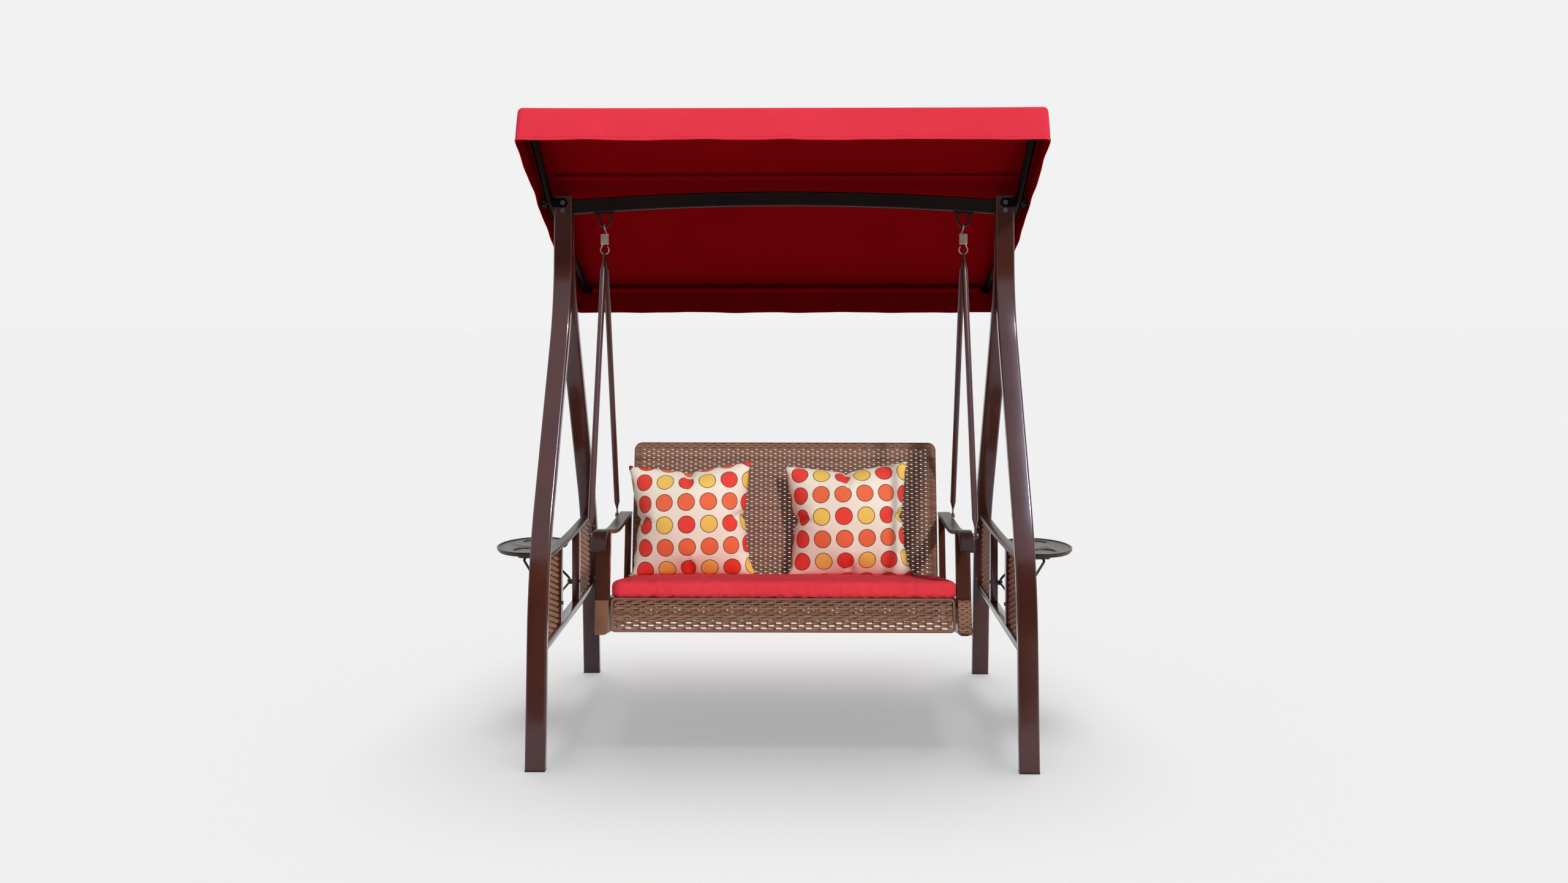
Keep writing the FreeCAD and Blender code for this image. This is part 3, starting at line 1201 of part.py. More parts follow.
bar_half = arm_x - cells.canopy_tube / 2
for label, y in (("canopy_front_bar", -worth(FRONT_RUN)), ("canopy_rear_bar", worth(REAR_RUN))):
    bar = body_in(CANOPY, label, 0, y, worth("canopy_roof - canopy_cloth - soft_gap - canopy_bar / 2"))
    section = sketch_in(bar, "YZ_Plane", "section")
    circle(section, "canopy_bar")
    circle(section, "canopy_bar - 2 * canopy_tube_wall")
    pad(bar, section, "%.4f" % (2 * bar_half), both_ways=True)
    keep(bar)

cover = body_in(CANOPY, "canopy_cover")
sketch = sketch_in(cover, "XY_Plane", "outline", "canopy_roof - valance")
rectangle(sketch, "canopy_width", "canopy_front + canopy_rear", "0", "(canopy_rear - canopy_front) / 2")
pad(cover, sketch, "valance")
round_off(cover, "canopy_corner", lambda edge: runs_along(edge, Z_AXIS))
round_off(cover, "canopy_edge", lambda edge: edge.CenterOfMass.z > cells.canopy_roof - cells.canopy_cloth)
under_face = min(range(len(cover.Tip.Shape.Faces)), key=lambda n: cover.Tip.Shape.Faces[n].CenterOfMass.z)
wall = cover.newObject("PartDesign::Thickness", "cover_cloth")
wall.Base = (cover.Group[-2], ["Face%d" % (under_face + 1)])
wall.Reversed = True
bind(wall, {"Value": "canopy_cloth"})
doc.recompute()
keep(cover)

# Canopy brackets: a plate folded round the corner of the front leg, with the tilting bolt on its side.
bracket = body_in(bolt_frame(0), "canopy_bracket_right", cells.tube_width / 2, -cells.tube_depth / 2)
sketch = sketch_in(bracket, "XY_Plane", "fold")
inner_end = "-(tube_width + bracket_height) / 2"
side_end = "%.4f + tube_depth / 2 + bracket_height / 2" % (
    cells.pivot_y - leg_y("front_leg", cells.apex_upper))
outline(sketch, [
    ("0", "0"), (inner_end, "0"), (inner_end, "-bracket_plate"), ("bracket_plate", "-bracket_plate"),
    ("bracket_plate", side_end), ("0", side_end)])
pad(bracket, sketch, "bracket_height", both_ways=True)
round_off(bracket, "bracket_height / 2 - bolt_gap", lambda edge: (
    runs_along(edge, Y_AXIS) and edge.CenterOfMass.x < -cells.tube_width / 2) or (
    runs_along(edge, X_AXIS) and edge.CenterOfMass.y > cells.tube_depth))
eye = sketch_in(bracket, "XZ_Plane", "eye")
circle(eye, "apex_bolt + 2 * bolt_gap", "-tube_width / 2")
pocket(bracket, eye, "4 * bracket_plate", both_ways=True)
keep(bracket)
mirror(bracket, "canopy_bracket_left")

stub = rod("pivot_stub", "pivot_bolt / 2", "arm_gap + canopy_tube + knob_thickness - bracket_plate")
put(stub, STAND, cells.frame_width / 2 + cells.bracket_plate, cells.pivot_y, cells.pivot_z,
    turned(Y_AXIS, 90))
both_sides("canopy_pivot_bolts", stub)

knob = body_in(STAND, "canopy_knob_right", arm_x + worth("canopy_tube / 2 + arm_gap"), cells.pivot_y,
               cells.pivot_z)
sketch = sketch_in(knob, "YZ_Plane", "disc")
circle(sketch, "knob_diameter")
pad(knob, sketch, "knob_thickness")
scallop = sketch_in(knob, "YZ_Plane", "scallop", "-cut_overrun")
circle(scallop, "knob_scallop", "knob_diameter / 2")
dent = pocket(knob, scallop, "knob_thickness + 2 * cut_overrun", reverse=True)
ring = knob.newObject("PartDesign::PolarPattern", "knob_lobes_round")
ring.Originals = [dent]
ring.Axis = (next(item for item in knob.Origin.OriginFeatures if item.Role == "X_Axis"), [""])
ring.Angle = 360
ring.Occurrences = int(cells.knob_lobes)
knob.Tip = ring
doc.recompute()
socket = sketch_in(knob, "YZ_Plane", "socket")
circle(socket, "pivot_bolt + 2 * bolt_gap")
pocket(knob, socket, "knob_thickness - bracket_plate / 2", reverse=True)
keep(knob)
mirror(knob, "canopy_knob_left")

# Bolts that join each front leg to its rear leg, with a nut behind. The upper one also holds the bracket.
apex_bolts = []
for step, plate in ((0, "bracket_plate"), (1, "0")):
    start = -cells.tube_depth / 2 - worth(plate)
    shank = rod("apex_shank_%d" % step, "apex_bolt / 2",
                "2 * tube_depth + %s + apex_head_height + 2 * bolt_gap" % plate)
    head = rod("apex_head_%d" % step, "apex_head / 2", "apex_head_height")
    nut = rod("apex_nut_%d" % step, "apex_head / 2", "apex_head_height")
    put(shank, bolt_frame(step), 0, start, 0, ALONG_Y)
    put(head, bolt_frame(step), 0, start - cells.apex_head_height, 0, ALONG_Y)
    put(nut, bolt_frame(step), 0, 3 * cells.tube_depth / 2 + cells.bolt_gap, 0, ALONG_Y)
    apex_bolts.append(joined("apex_bolt_%d" % step, [shank, head, nut]))
both_sides("apex_bolts", group("apex_bolts_right", apex_bolts))

doc.recompute()
faults = [item.Label for item in doc.Objects if "Invalid" in item.State or "Error" in item.State]
for item in sub_parts:
    if item.Shape.isNull() or not item.Shape.isValid():
        faults.append(item.Label)
if faults:
    raise RuntimeError("these objects failed: " + ", ".join(faults))
print("origin is %.4f mm behind the middle between the feet" % middle)

os.makedirs("parts", exist_ok=True)
for item in sub_parts:
    item.Shape.exportStep(os.path.join("parts", item.Label + ".step"))
print(len(sub_parts), "sub-parts written")
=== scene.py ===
import math

import bmesh
import bpy
import numpy as np
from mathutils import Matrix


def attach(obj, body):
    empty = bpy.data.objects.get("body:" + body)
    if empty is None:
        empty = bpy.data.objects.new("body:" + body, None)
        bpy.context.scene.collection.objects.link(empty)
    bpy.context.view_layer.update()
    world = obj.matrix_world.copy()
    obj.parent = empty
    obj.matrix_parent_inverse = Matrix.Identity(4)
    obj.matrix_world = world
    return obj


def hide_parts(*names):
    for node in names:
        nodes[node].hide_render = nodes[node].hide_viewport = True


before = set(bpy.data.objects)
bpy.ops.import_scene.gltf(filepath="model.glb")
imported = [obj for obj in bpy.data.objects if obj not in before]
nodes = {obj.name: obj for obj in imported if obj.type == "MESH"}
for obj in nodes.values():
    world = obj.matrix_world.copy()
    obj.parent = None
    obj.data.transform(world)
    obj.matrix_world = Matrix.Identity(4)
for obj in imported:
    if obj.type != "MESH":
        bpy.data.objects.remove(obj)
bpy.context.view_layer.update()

# The room. A pale floor runs to the horizon, a sharp lamp stands at the front right and a broad one
# overhead, and a dark card behind the camera is mirrored in the paint. The camera looks level across the
# seat from the place of the photograph, shifted down to take in the feet.

paper = (0.880, 0.885, 0.885, 1)


def seen_rays(tree):
    """A socket that is 1 for what the camera, mirrors and clear things see, and 0 for plain light."""
    ray = tree.nodes.new("ShaderNodeLightPath")
    socket = ray.outputs["Is Camera Ray"]
    for label in ("Is Glossy Ray", "Is Transmission Ray"):
        either = tree.nodes.new("ShaderNodeMath")
        either.operation = "MAXIMUM"
        tree.links.new(socket, either.inputs[0])
        tree.links.new(ray.outputs[label], either.inputs[1])
        socket = either.outputs[0]
    return socket


room = bpy.data.worlds.new("room")
bpy.context.scene.world = room
room.use_nodes = True
links = room.node_tree.links
air = room.node_tree.nodes
air.clear()
sky = air.new("ShaderNodeBackground")
sky.inputs["Color"].default_value = (0.96, 0.98, 1, 1)
sky.inputs["Strength"].default_value = 0.25
page = air.new("ShaderNodeBackground")
page.inputs["Color"].default_value = paper
blend = air.new("ShaderNodeMixShader")
links.new(seen_rays(room.node_tree), blend.inputs[0])
links.new(sky.outputs[0], blend.inputs[1])
links.new(page.outputs[0], blend.inputs[2])
links.new(blend.outputs[0], air.new("ShaderNodeOutputWorld").inputs[0])

# Name, strength, width of the sun's disc and turn, both in degrees.
lamps = (("key_lamp", 2.2, 4, (50, 0, 32)),
         ("top_lamp", 0.9, 34, (-8, 2, 0)),
         ("floor_lamp", 1.35, 30, (-4, 2, 0)))
for name, strength, softness, turn in lamps:
    lamp = bpy.data.lights.new(name, "SUN")
    lamp.energy = strength
    lamp.angle = math.radians(softness)
    holder = bpy.data.objects.new(name, lamp)
    holder.rotation_euler = [math.radians(angle) for angle in turn]
    bpy.context.collection.objects.link(holder)

# The photograph's width, middle row, focal length, horizon and point straight ahead, all in its pixels.
picture_width, picture_middle, focal_length, horizon, straight_ahead = 2560, 720.5, 2108, 507, 1306
film_width = 36
lens = bpy.data.cameras.new("camera")
lens.sensor_width = film_width
lens.lens = film_width * focal_length / picture_width
lens.shift_y = (horizon - picture_middle) / picture_width
lens.clip_end = 400
camera = bpy.data.objects.new("camera", lens)
camera.location = (0.053, -4.3582, 1.344)
camera.rotation_euler = (math.radians(90), 0, math.atan((straight_ahead - picture_width / 2) / focal_length))
bpy.context.collection.objects.link(camera)
bpy.context.scene.camera = camera
bpy.context.scene.view_settings.view_transform = "Standard"


def solid_mesh(name, points, faces, turn_out=True):
    """A mesh object from an array of points and one of faces, with smooth shading and outward faces."""
    mesh = bpy.data.meshes.new(name)
    mesh.from_pydata(np.asarray(points, float).reshape(-1, 3), [], [list(face) for face in faces])
    if turn_out:
        shell = bmesh.new()
        shell.from_mesh(mesh)
        bmesh.ops.recalc_face_normals(shell, faces=shell.faces)
        shell.to_mesh(mesh)
        shell.free()
    mesh.shade_smooth()
    piece = bpy.data.objects.new(name, mesh)
    bpy.context.collection.objects.link(piece)
    return piece


floor = solid_mesh("floor", [(-90, -90, 0), (90, -90, 0), (90, 90, 0), (-90, 90, 0)], [(0, 1, 2, 3)])
chalk = bpy.data.materials.new("pale_floor")
chalk.use_nodes = True
skin = chalk.node_tree.nodes["Principled BSDF"]
skin.inputs["Base Color"].default_value = (0.91, 0.905, 0.895, 1)
skin.inputs["Roughness"].default_value = 0.9
skin.inputs["Specular IOR Level"].default_value = 0.0
floor.data.materials.append(chalk)
# In the picture and in reflections two fifths of the floor's tone is the paper's, so that its shadows
# stay pale.
paper_share = 0.4
links = chalk.node_tree.links
air = chalk.node_tree.nodes
share = air.new("ShaderNodeMath")
share.operation = "MULTIPLY"
share.inputs[1].default_value = paper_share
links.new(seen_rays(chalk.node_tree), share.inputs[0])
page = air.new("ShaderNodeEmission")
page.inputs["Color"].default_value = paper
blend = air.new("ShaderNodeMixShader")
links.new(share.outputs[0], blend.inputs[0])
links.new(skin.outputs[0], blend.inputs[1])
links.new(page.outputs[0], blend.inputs[2])
links.new(blend.outputs[0], air["Material Output"].inputs[0])
# The sharp lamp is flagged off the floor, which has a broad lamp of its own.
for name, state in (("key_lamp", "EXCLUDE"), ("floor_lamp", "INCLUDE")):
    lit = bpy.data.collections.new(name + "_reach")
    lit.objects.link(floor)
    lit.collection_objects[0].light_linking.link_state = state
    bpy.data.objects[name].light_linking.receiver_collection = lit
# The card lies on the floor under the camera and stands up behind it. Only mirroring paint shows it.
card_bend = [(x, y, z) for y, z in ((-1.5, 0.003), (-7, 0.003), (-7, 3.4)) for x in (-9, 9)]
card = solid_mesh("dark_card", card_bend, [(0, 1, 3, 2), (2, 3, 5, 4)], turn_out=False)
for kind in ("camera", "diffuse", "shadow", "transmission", "volume_scatter"):
    setattr(card, "visible_" + kind, False)
felt = bpy.data.materials.new("dark_felt")
felt.use_nodes = True
felt.node_tree.nodes["Principled BSDF"].inputs["Base Color"].default_value = (0.05, 0.045, 0.045, 1)
card.data.materials.append(felt)

# Powder-coated steel. The tubes are sprayed with a dark powder, reddish brown on legs and rods and nearly
# black on beam and canopy frame, and baked, which leaves a skin with a faint orange peel.


def new_group(name, inputs, outputs):
    """A shader node group with colour, float and vector sockets, and its two end nodes."""
    kinds = {"c": "NodeSocketColor", "f": "NodeSocketFloat", "v": "NodeSocketVector"}
    tree = bpy.data.node_groups.new(name, "ShaderNodeTree")
    for label, kind, value in inputs:
        socket = tree.interface.new_socket(label, in_out="INPUT", socket_type=kinds[kind])
        socket.default_value = value
    for label, kind in outputs:
        tree.interface.new_socket(label, in_out="OUTPUT", socket_type=kinds[kind])
    return tree, tree.nodes.new("NodeGroupInput"), tree.nodes.new("NodeGroupOutput")


def noise(tree, where, scale, detail=2.0):
    """Cloudy noise at so many blots per metre, as a socket from 0 to 1."""
    cloud = tree.nodes.new("ShaderNodeTexNoise")
    cloud.inputs["Detail"].default_value = detail
    tree.links.new(where, cloud.inputs["Vector"])
    if isinstance(scale, float):
        cloud.inputs["Scale"].default_value = scale
    else:
        tree.links.new(scale, cloud.inputs["Scale"])
    return cloud.outputs["Fac"]


def reckon(tree, operation, *values):
    """A Math node's result from sockets and plain numbers."""
    node = tree.nodes.new("ShaderNodeMath")
    node.operation = operation
    for slot, value in zip(node.inputs, values):
        if isinstance(value, (int, float)):
            slot.default_value = value
        else:
            tree.links.new(value, slot)
    return node.outputs[0]


def spread(tree, value, low, high, new_low, new_high):
    """Maps a socket's range to another one, and holds it there."""
    node = tree.nodes.new("ShaderNodeMapRange")
    tree.links.new(value, node.inputs[0])
    for slot, number in zip(node.inputs[1:5], (low, high, new_low, new_high)):
        slot.default_value = number
    return node.outputs[0]


def tint(tree, share, first, second):
    """Mixes two colours by a socket from 0 to 1."""
    node = tree.nodes.new("ShaderNodeMix")
    node.data_type = "RGBA"
    tree.links.new(share, node.inputs["Factor"])
    for slot, value in ((node.inputs[6], first), (node.inputs[7], second)):
        if isinstance(value, tuple):
            slot.default_value = value
        else:
            tree.links.new(value, slot)
    return node.outputs[2]


# Surface grain: broad cloudy changes of tone and a fine roughness of the skin, on Object coordinates.
grain, grain_in, grain_out = new_group(
    "surface_grain",
    [("Colour", "c", (0.1, 0.1, 0.1, 1)), ("Deep", "c", (0.05, 0.05, 0.05, 1)), ("Blots", "f", 6.0),
     ("Grain", "f", 900.0), ("Dull", "f", 0.4), ("Gloss", "f", 0.25)],
    [("Colour", "c"), ("Roughness", "f"), ("Height", "f")])
where = grain.nodes.new("ShaderNodeTexCoord").outputs["Object"]
clouds = noise(grain, where, grain_in.outputs["Blots"], 4.0)
grit = noise(grain, where, grain_in.outputs["Grain"], 1.0)
share = spread(grain, clouds, 0.35, 0.65, 0.0, 1.0)
colour = tint(grain, share, grain_in.outputs["Deep"], grain_in.outputs["Colour"])
grain.links.new(colour, grain_out.inputs["Colour"])
span = reckon(grain, "SUBTRACT", grain_in.outputs["Dull"], grain_in.outputs["Gloss"])
shine = reckon(grain, "MULTIPLY_ADD", span, clouds, grain_in.outputs["Gloss"])
grain.links.new(shine, grain_out.inputs["Roughness"])
grain.links.new(grit, grain_out.inputs["Height"])


def finished(name, group, values, bump, depth, shader):
    """A material with colour, roughness and relief from a group, and other sockets of its shader as given."""
    material = bpy.data.materials.new(name)
    material.use_nodes = True
    tree = material.node_tree
    skin = tree.nodes["Principled BSDF"]
    look = tree.nodes.new("ShaderNodeGroup")
    look.node_tree = group
    for label, value in values.items():
        look.inputs[label].default_value = value
    tree.links.new(look.outputs["Colour"], skin.inputs["Base Color"])
    tree.links.new(look.outputs["Roughness"], skin.inputs["Roughness"])
    dents = tree.nodes.new("ShaderNodeBump")
    dents.inputs["Strength"].default_value = bump
    dents.inputs["Distance"].default_value = depth
    tree.links.new(look.outputs["Height"], dents.inputs["Height"])
    tree.links.new(dents.outputs["Normal"], skin.inputs["Normal"])
    for label, value in shader.items():
        skin.inputs[label.replace("_", " ")].default_value = value
    return material


def grained(name, colour, deep, dull, gloss, blots=6.0, size=900.0, bump=0.05, depth=0.0004, **shader):
    """A material of the surface_grain group."""
    values = {"Colour": colour + (1,), "Deep": deep + (1,), "Dull": dull, "Gloss": gloss, "Blots": blots,
              "Grain": size}
    return finished(name, grain, values, bump, depth, shader)


def dress(material, *names):
    """Gives whole CAD pieces one material."""
    for name in names:
        nodes[name].data.materials.clear()
        nodes[name].data.materials.append(material)


# The blue specular tints of the brown and satin coats are painted reflection: they give what these coats
# mirror a bluish sky cast.
brown_coat = grained("brown_powder_coat", (0.072, 0.018, 0.008), (0.052, 0.012, 0.005), 0.24, 0.15,
                     Specular_IOR_Level=0.55, Specular_Tint=(0.70, 0.72, 1, 1), Coat_Weight=0.4,
                     Coat_Roughness=0.08)
satin_coat = grained("satin_powder_coat", (0.040, 0.016, 0.011), (0.030, 0.011, 0.008), 0.38, 0.28,
                     Specular_IOR_Level=0.28, Specular_Tint=(0.75, 0.80, 1, 1))
dark_coat = grained("dark_powder_coat", (0.014, 0.007, 0.006), (0.010, 0.006, 0.005), 0.24, 0.14,
                    Specular_IOR_Level=0.3, Coat_Weight=0.15, Coat_Roughness=0.05)
matt_coat = grained("matt_powder_coat", (0.005, 0.003, 0.003), (0.004, 0.002, 0.002), 0.50, 0.40,
                    Specular_IOR_Level=0.06)


def in_stand(points):
    """From the stand's own measure, which starts between the feet, to the room's."""
    return np.asarray(points, float) + (0, -0.077216, 0)


def tilted(points, origin, degrees):
    """Turns points about X by a backward tilt and moves them to an origin."""
    lean = math.radians(degrees)
    along = np.array([(1, 0, 0), (0, math.cos(lean), -math.sin(lean)), (0, math.sin(lean), math.cos(lean))])
    return np.asarray(points, float) @ along + origin


seat_lean, canopy_lean = 9.5, 25.2


def in_seat(points):
    return tilted(points, (0, -0.417216, 0.414), seat_lean)


def in_canopy(points):
    return tilted(points, (0, -0.123216, 1.697), canopy_lean)


def bent_line(start, heading, moves, end=None, fine=3.0):
    """A line in a plane through straight runs and tangent bends, as N x 2 points.

    moves holds (length,) for a run, None for a run whose length follows from the end, and
    (radius, new heading) for a bend. A bend of radius r from angle a to b moves by
    r * (sin b - sin a, cos a - cos b) to the left, and by its negative to the right.
    """
    angle = math.radians(heading)
    parts = []
    free = []
    for move in moves:
        if move is None or len(move) == 1:
            way = np.array([(math.cos(angle), math.sin(angle))])
            if move is None:
                free.append(len(parts))
            parts.append(way * (1 if move is None else move[0]))
        else:
            radius, new = move
            turned = np.linspace(angle, math.radians(new), 2 + int(abs(math.degrees(angle) - new) / fine))[1:]
            side = 1 if turned[-1] > angle else -1
            bow = np.stack([np.sin(turned) - math.sin(angle), math.cos(angle) - np.cos(turned)], 1)
            parts.append(bow * side * radius)
            angle = turned[-1]
    if free:
        fixed = sum(part[-1] for index, part in enumerate(parts) if index not in free)
        ways = np.stack([parts[index][0] for index in free], 1)
        lengths = np.linalg.solve(ways, np.asarray(end, float) - start - fixed)
        for index, length in zip(free, lengths):
            parts[index] = parts[index] * length
    points = [np.array([start], float)]
    for part in parts:
        points.append(points[-1][-1] + part)
    return np.concatenate(points)


def rounded(width, height, radius, steps=5, crown=0.0):
    """The outline of a rectangle with round corners, with a support point near each arc's ends.

    A crown bulges the two wide sides by crown * (1 - (2 * x / width)^2).
    """
    turn = np.linspace(0, math.pi / 2, steps)
    arc = np.stack([np.cos(turn), np.sin(turn)], 1) * radius
    arc = np.concatenate([[(radius, -0.15 * radius)], arc, [(-0.15 * radius, radius)]])
    corners = []
    for quarter, (x, y) in enumerate(((1, 1), (-1, 1), (-1, -1), (1, -1))):
        c, s = round(math.cos(quarter * math.pi / 2)), round(math.sin(quarter * math.pi / 2))
        spun = arc @ np.array([(c, s), (-s, c)])
        corners.append(spun + (x * (width / 2 - radius), y * (height / 2 - radius)))
        if crown and x == y:
            run = np.linspace(x, -x, 8)[1:-1] * (width / 2 - 1.4 * radius)
            corners.append(np.stack([run, np.full(6, y * height / 2)], 1))
    line = np.concatenate(corners)
    line[:, 1] += np.sign(line[:, 1]) * crown * (1 - (2 * line[:, 0] / width) ** 2)
    return line


def ring(radius, steps=16):
    turn = np.arange(steps) * 2 * math.pi / steps
    return np.stack([np.cos(turn), np.sin(turn)], 1) * radius


def grid_faces(rows, columns, around=True):
    """The four-cornered faces between rows of points, closed round each row where around is true."""
    row = np.arange(rows - 1)[:, None] * columns
    column = np.arange(columns if around else columns - 1)[None, :]
    following = (column + 1) % columns
    quads = np.stack([row + column, row + following, row + columns + following, row + columns + column], -1)
    return quads.reshape(-1, 4).tolist()


def swept(name, line, across, outline, body, material, replaced=()):
    """A bar whose outline is carried along a line that lies in a plane.

    Point (i, j) is line[i] + outline[j, 0] * A + outline[j, 1] * (A x T[i]), where A is the plane's
    normal and T the line's direction, and both ends are closed flat.
    """
    steps = np.diff(line, axis=0)
    steps /= np.linalg.norm(steps, axis=1, keepdims=True)
    way = np.concatenate([steps[:1], steps[:-1] + steps[1:], steps[-1:]])
    way /= np.linalg.norm(way, axis=1, keepdims=True)
    across = np.asarray(across, float)
    out = np.cross(across, way)
    points = line[:, None] + outline[None, :, :1] * across + outline[None, :, 1:] * out[:, None]
    count = len(outline)
    faces = grid_faces(len(line), count)
    faces += [list(range(count))[::-1], list(range((len(line) - 1) * count, len(line) * count))]
    piece = solid_mesh(name, points, faces)
    piece.data.set_sharp_from_angle(angle=math.radians(50))
    piece.data.materials.append(material)
    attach(piece, body)
    if replaced:
        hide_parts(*replaced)
    return piece


def twins(name, line, across, outline, body, material):
    """The bar on the right-hand side, and its like on the left, in place of the two CAD bars."""
    for side, sign in (("right", 1), ("left", -1)):
        flip = np.array((sign, 1, 1))
        node = "%s_%s" % (name, side)
        swept("fine_" + node, line * flip, np.asarray(across) * flip, outline, body, material, (node,))


# Legs. Each is one length of 60 x 30 mm tube with round corners, bent twice, so that front and rear leg
# stand splayed at the foot and lie back to back at the top, where two bolts join them.

leg_outline = rounded(0.060, 0.030, 0.0065, crown=0.0012)
front_line = bent_line(
    (-0.515, 0.004), 85.8, [(0.382,), (0.970, 62.9), None, (0.642, 87.4), None], (-0.060, 1.7176))
rear_line = bent_line(
    (0.515, 0.004), 95.6, [(0.410,), (0.746, 119.7), None, (0.790, 87.4), None], (-0.030241, 1.7116))
for node, line in (("front_leg", front_line), ("rear_leg", rear_line)):
    line = in_stand(np.insert(line, 0, 0.720, 1))
    twins(node, line, (1, 0, 0), leg_outline, "stand", brown_coat)

# Crossbeam. A 48 x 40 mm tube with a gentle arch is welded between the two pairs of legs, and the seat
# hangs from it.

beam_half, beam_rise = 0.690, 0.027
beam_radius = (beam_half ** 2 + beam_rise ** 2) / (2 * beam_rise)
beam_swing = np.linspace(-1, 1, 33) * math.asin(beam_half / beam_radius)
beam_line = np.stack([
    beam_radius * np.sin(beam_swing), np.full(33, -0.046),
    1.683 + beam_rise - beam_radius + beam_radius * np.cos(beam_swing)], 1)
swept("fine_crossbeam", in_stand(beam_line), (0, 1, 0), rounded(0.040, 0.048, 0.006), "stand", dark_coat,
      ("crossbeam",))

# Canopy. One red polyester sheet is sewn into a fitted cover with a valance of some 115 mm all round. It is
# pulled over two side arms and two cross bars, sags a little between them, and has a narrow bound hem.


def cover_outline(half_x, front, rear, radius, spacing=0.0135):
    """A rectangle with round corners, as points at an even spacing along the sides, counter-clockwise."""
    turn = np.linspace(0, math.pi / 2, 7)
    corners = ((half_x, rear), (-half_x, rear), (-half_x, -front), (half_x, -front))
    parts = []
    for quarter, (x, y) in enumerate(corners):
        middle = (x - math.copysign(radius, x), y - math.copysign(radius, y))
        angle = turn + quarter * math.pi / 2
        arc = np.stack([np.cos(angle), np.sin(angle)], 1) * radius + middle
        x, y = corners[(quarter + 1) % 4]
        middle = (x - math.copysign(radius, x), y - math.copysign(radius, y))
        angle = (quarter + 1) * math.pi / 2
        goal = np.array((math.cos(angle), math.sin(angle))) * radius + middle
        count = round((1.6 if quarter % 2 == 0 else 1.194) / spacing)
        side = arc[-1] + (goal - arc[-1]) * np.linspace(0, 1, count + 1)[1:-1, None]
        parts += [arc, side]
    return np.concatenate(parts)


def swell(value, low, high):
    """A smooth hump, 0 outside low..high and 1 half way: sin squared."""
    share = np.clip((value - low) / (high - low), 0, 1)
    return np.sin(math.pi * share) ** 2


cover_half, cover_front, cover_rear, roof_z, fold = 0.799, 0.437, 0.777, 0.0710, 0.095
edge_radius = 0.010
outer = cover_outline(cover_half, cover_front, cover_rear, 0.019)
inner = cover_outline(cover_half - edge_radius, cover_front - edge_radius, cover_rear - edge_radius, 0.007)
centre = np.array((0, (cover_rear - cover_front) / 2))
shares = np.linspace(0.02, 1, 46)
roof = centre + (inner - centre) * shares[:, None, None]
roof = np.concatenate([roof, np.full(roof.shape[:2] + (1,), roof_z)], 2)
turn = np.linspace(0, math.pi / 2, 7)[1:]
edge = np.concatenate([
    inner + (outer - inner) * np.sin(turn)[:, None, None],
    np.broadcast_to((roof_z - edge_radius * (1 - np.cos(turn)))[:, None, None], (6, len(outer), 1))], 2)
hem = np.array([-0.0100, -0.0090, -0.0080, -0.0060, -0.0030, -0.0010, 0])
drop = np.concatenate([np.linspace(0.004, fold - 0.013, 15), fold + hem])
proud = np.interp(drop, fold + hem[[0, 1, 2, 4, 6]], [0, -0.0012, 0.0012, 0.0016, 0.0004])
core_half, core_front, core_rear = cover_half - 0.02, cover_front - 0.02, cover_rear - 0.02
outward = outer - np.clip(outer, (-core_half, -core_front), (core_half, core_rear))
outward /= np.linalg.norm(outward, axis=1, keepdims=True)
# The valance hangs in shallow waves that grow towards its hem: three sines of the length round the edge.
round_the_edge = np.cumsum(np.linalg.norm(np.diff(outer, axis=0, append=outer[:1]), axis=1))
wave = (np.sin(round_the_edge * 19 + 0.6) + 0.7 * np.sin(round_the_edge * 31 + 2.1)
        + 0.5 * np.sin(round_the_edge * 53 + 4.0)) * 0.0013
lean_in = drop / fold
push = proud[:, None] + wave[None, :] * lean_in[:, None] - 0.003 * lean_in[:, None] ** 2
valance = np.concatenate([
    outer + outward[None] * push[..., None],
    np.broadcast_to((roof_z - edge_radius - drop)[:, None, None], (len(drop), len(outer), 1))], 2)
hem_wave = (np.sin(round_the_edge * 11 + 1) + np.sin(round_the_edge * 23)) * 0.0009
valance[..., 2] += hem_wave[None] * lean_in[:, None] ** 2
sheet_points = np.concatenate([roof, edge, valance])
# Between bars and arms the roof sags, and faint pulls run across it.
x, y = sheet_points[..., 0], sheet_points[..., 1]
on_roof = np.clip(1 - np.abs(x / 0.765) ** 3, 0, 1) * (sheet_points[..., 2] > roof_z - 0.001)
sag = 0.008 * swell(y, -0.42, -0.02) + 0.018 * swell(y, -0.02, 0.765)
pulls = (0.0011 * np.sin(34 * x + 9 * y) * swell(y, 0.08, 0.77)
         + 0.0007 * np.sin(61 * x - 20 * y) * swell(y, -0.39, -0.06))
sheet_points[..., 2] += (pulls - sag) * on_roof
# Over bars and arms the roof lies a centimetre higher, and a little more than that at the sides. The lift
# fades out down the valance.
lifted = 0.0105 + 0.002 * (np.abs(x) / cover_half) ** 6
sheet_points[..., 2] += lifted * np.clip((sheet_points[..., 2] - roof_z + 0.05) / 0.05, 0, 1)
count = len(outer)
faces = grid_faces(len(sheet_points), count) + [list(range(count))[::-1]]
cover = solid_mesh("canopy_sheet", in_canopy(sheet_points), faces)
thickness = cover.modifiers.new("cloth_thickness", "SOLIDIFY")
thickness.thickness = 0.0014
thickness.offset = -1

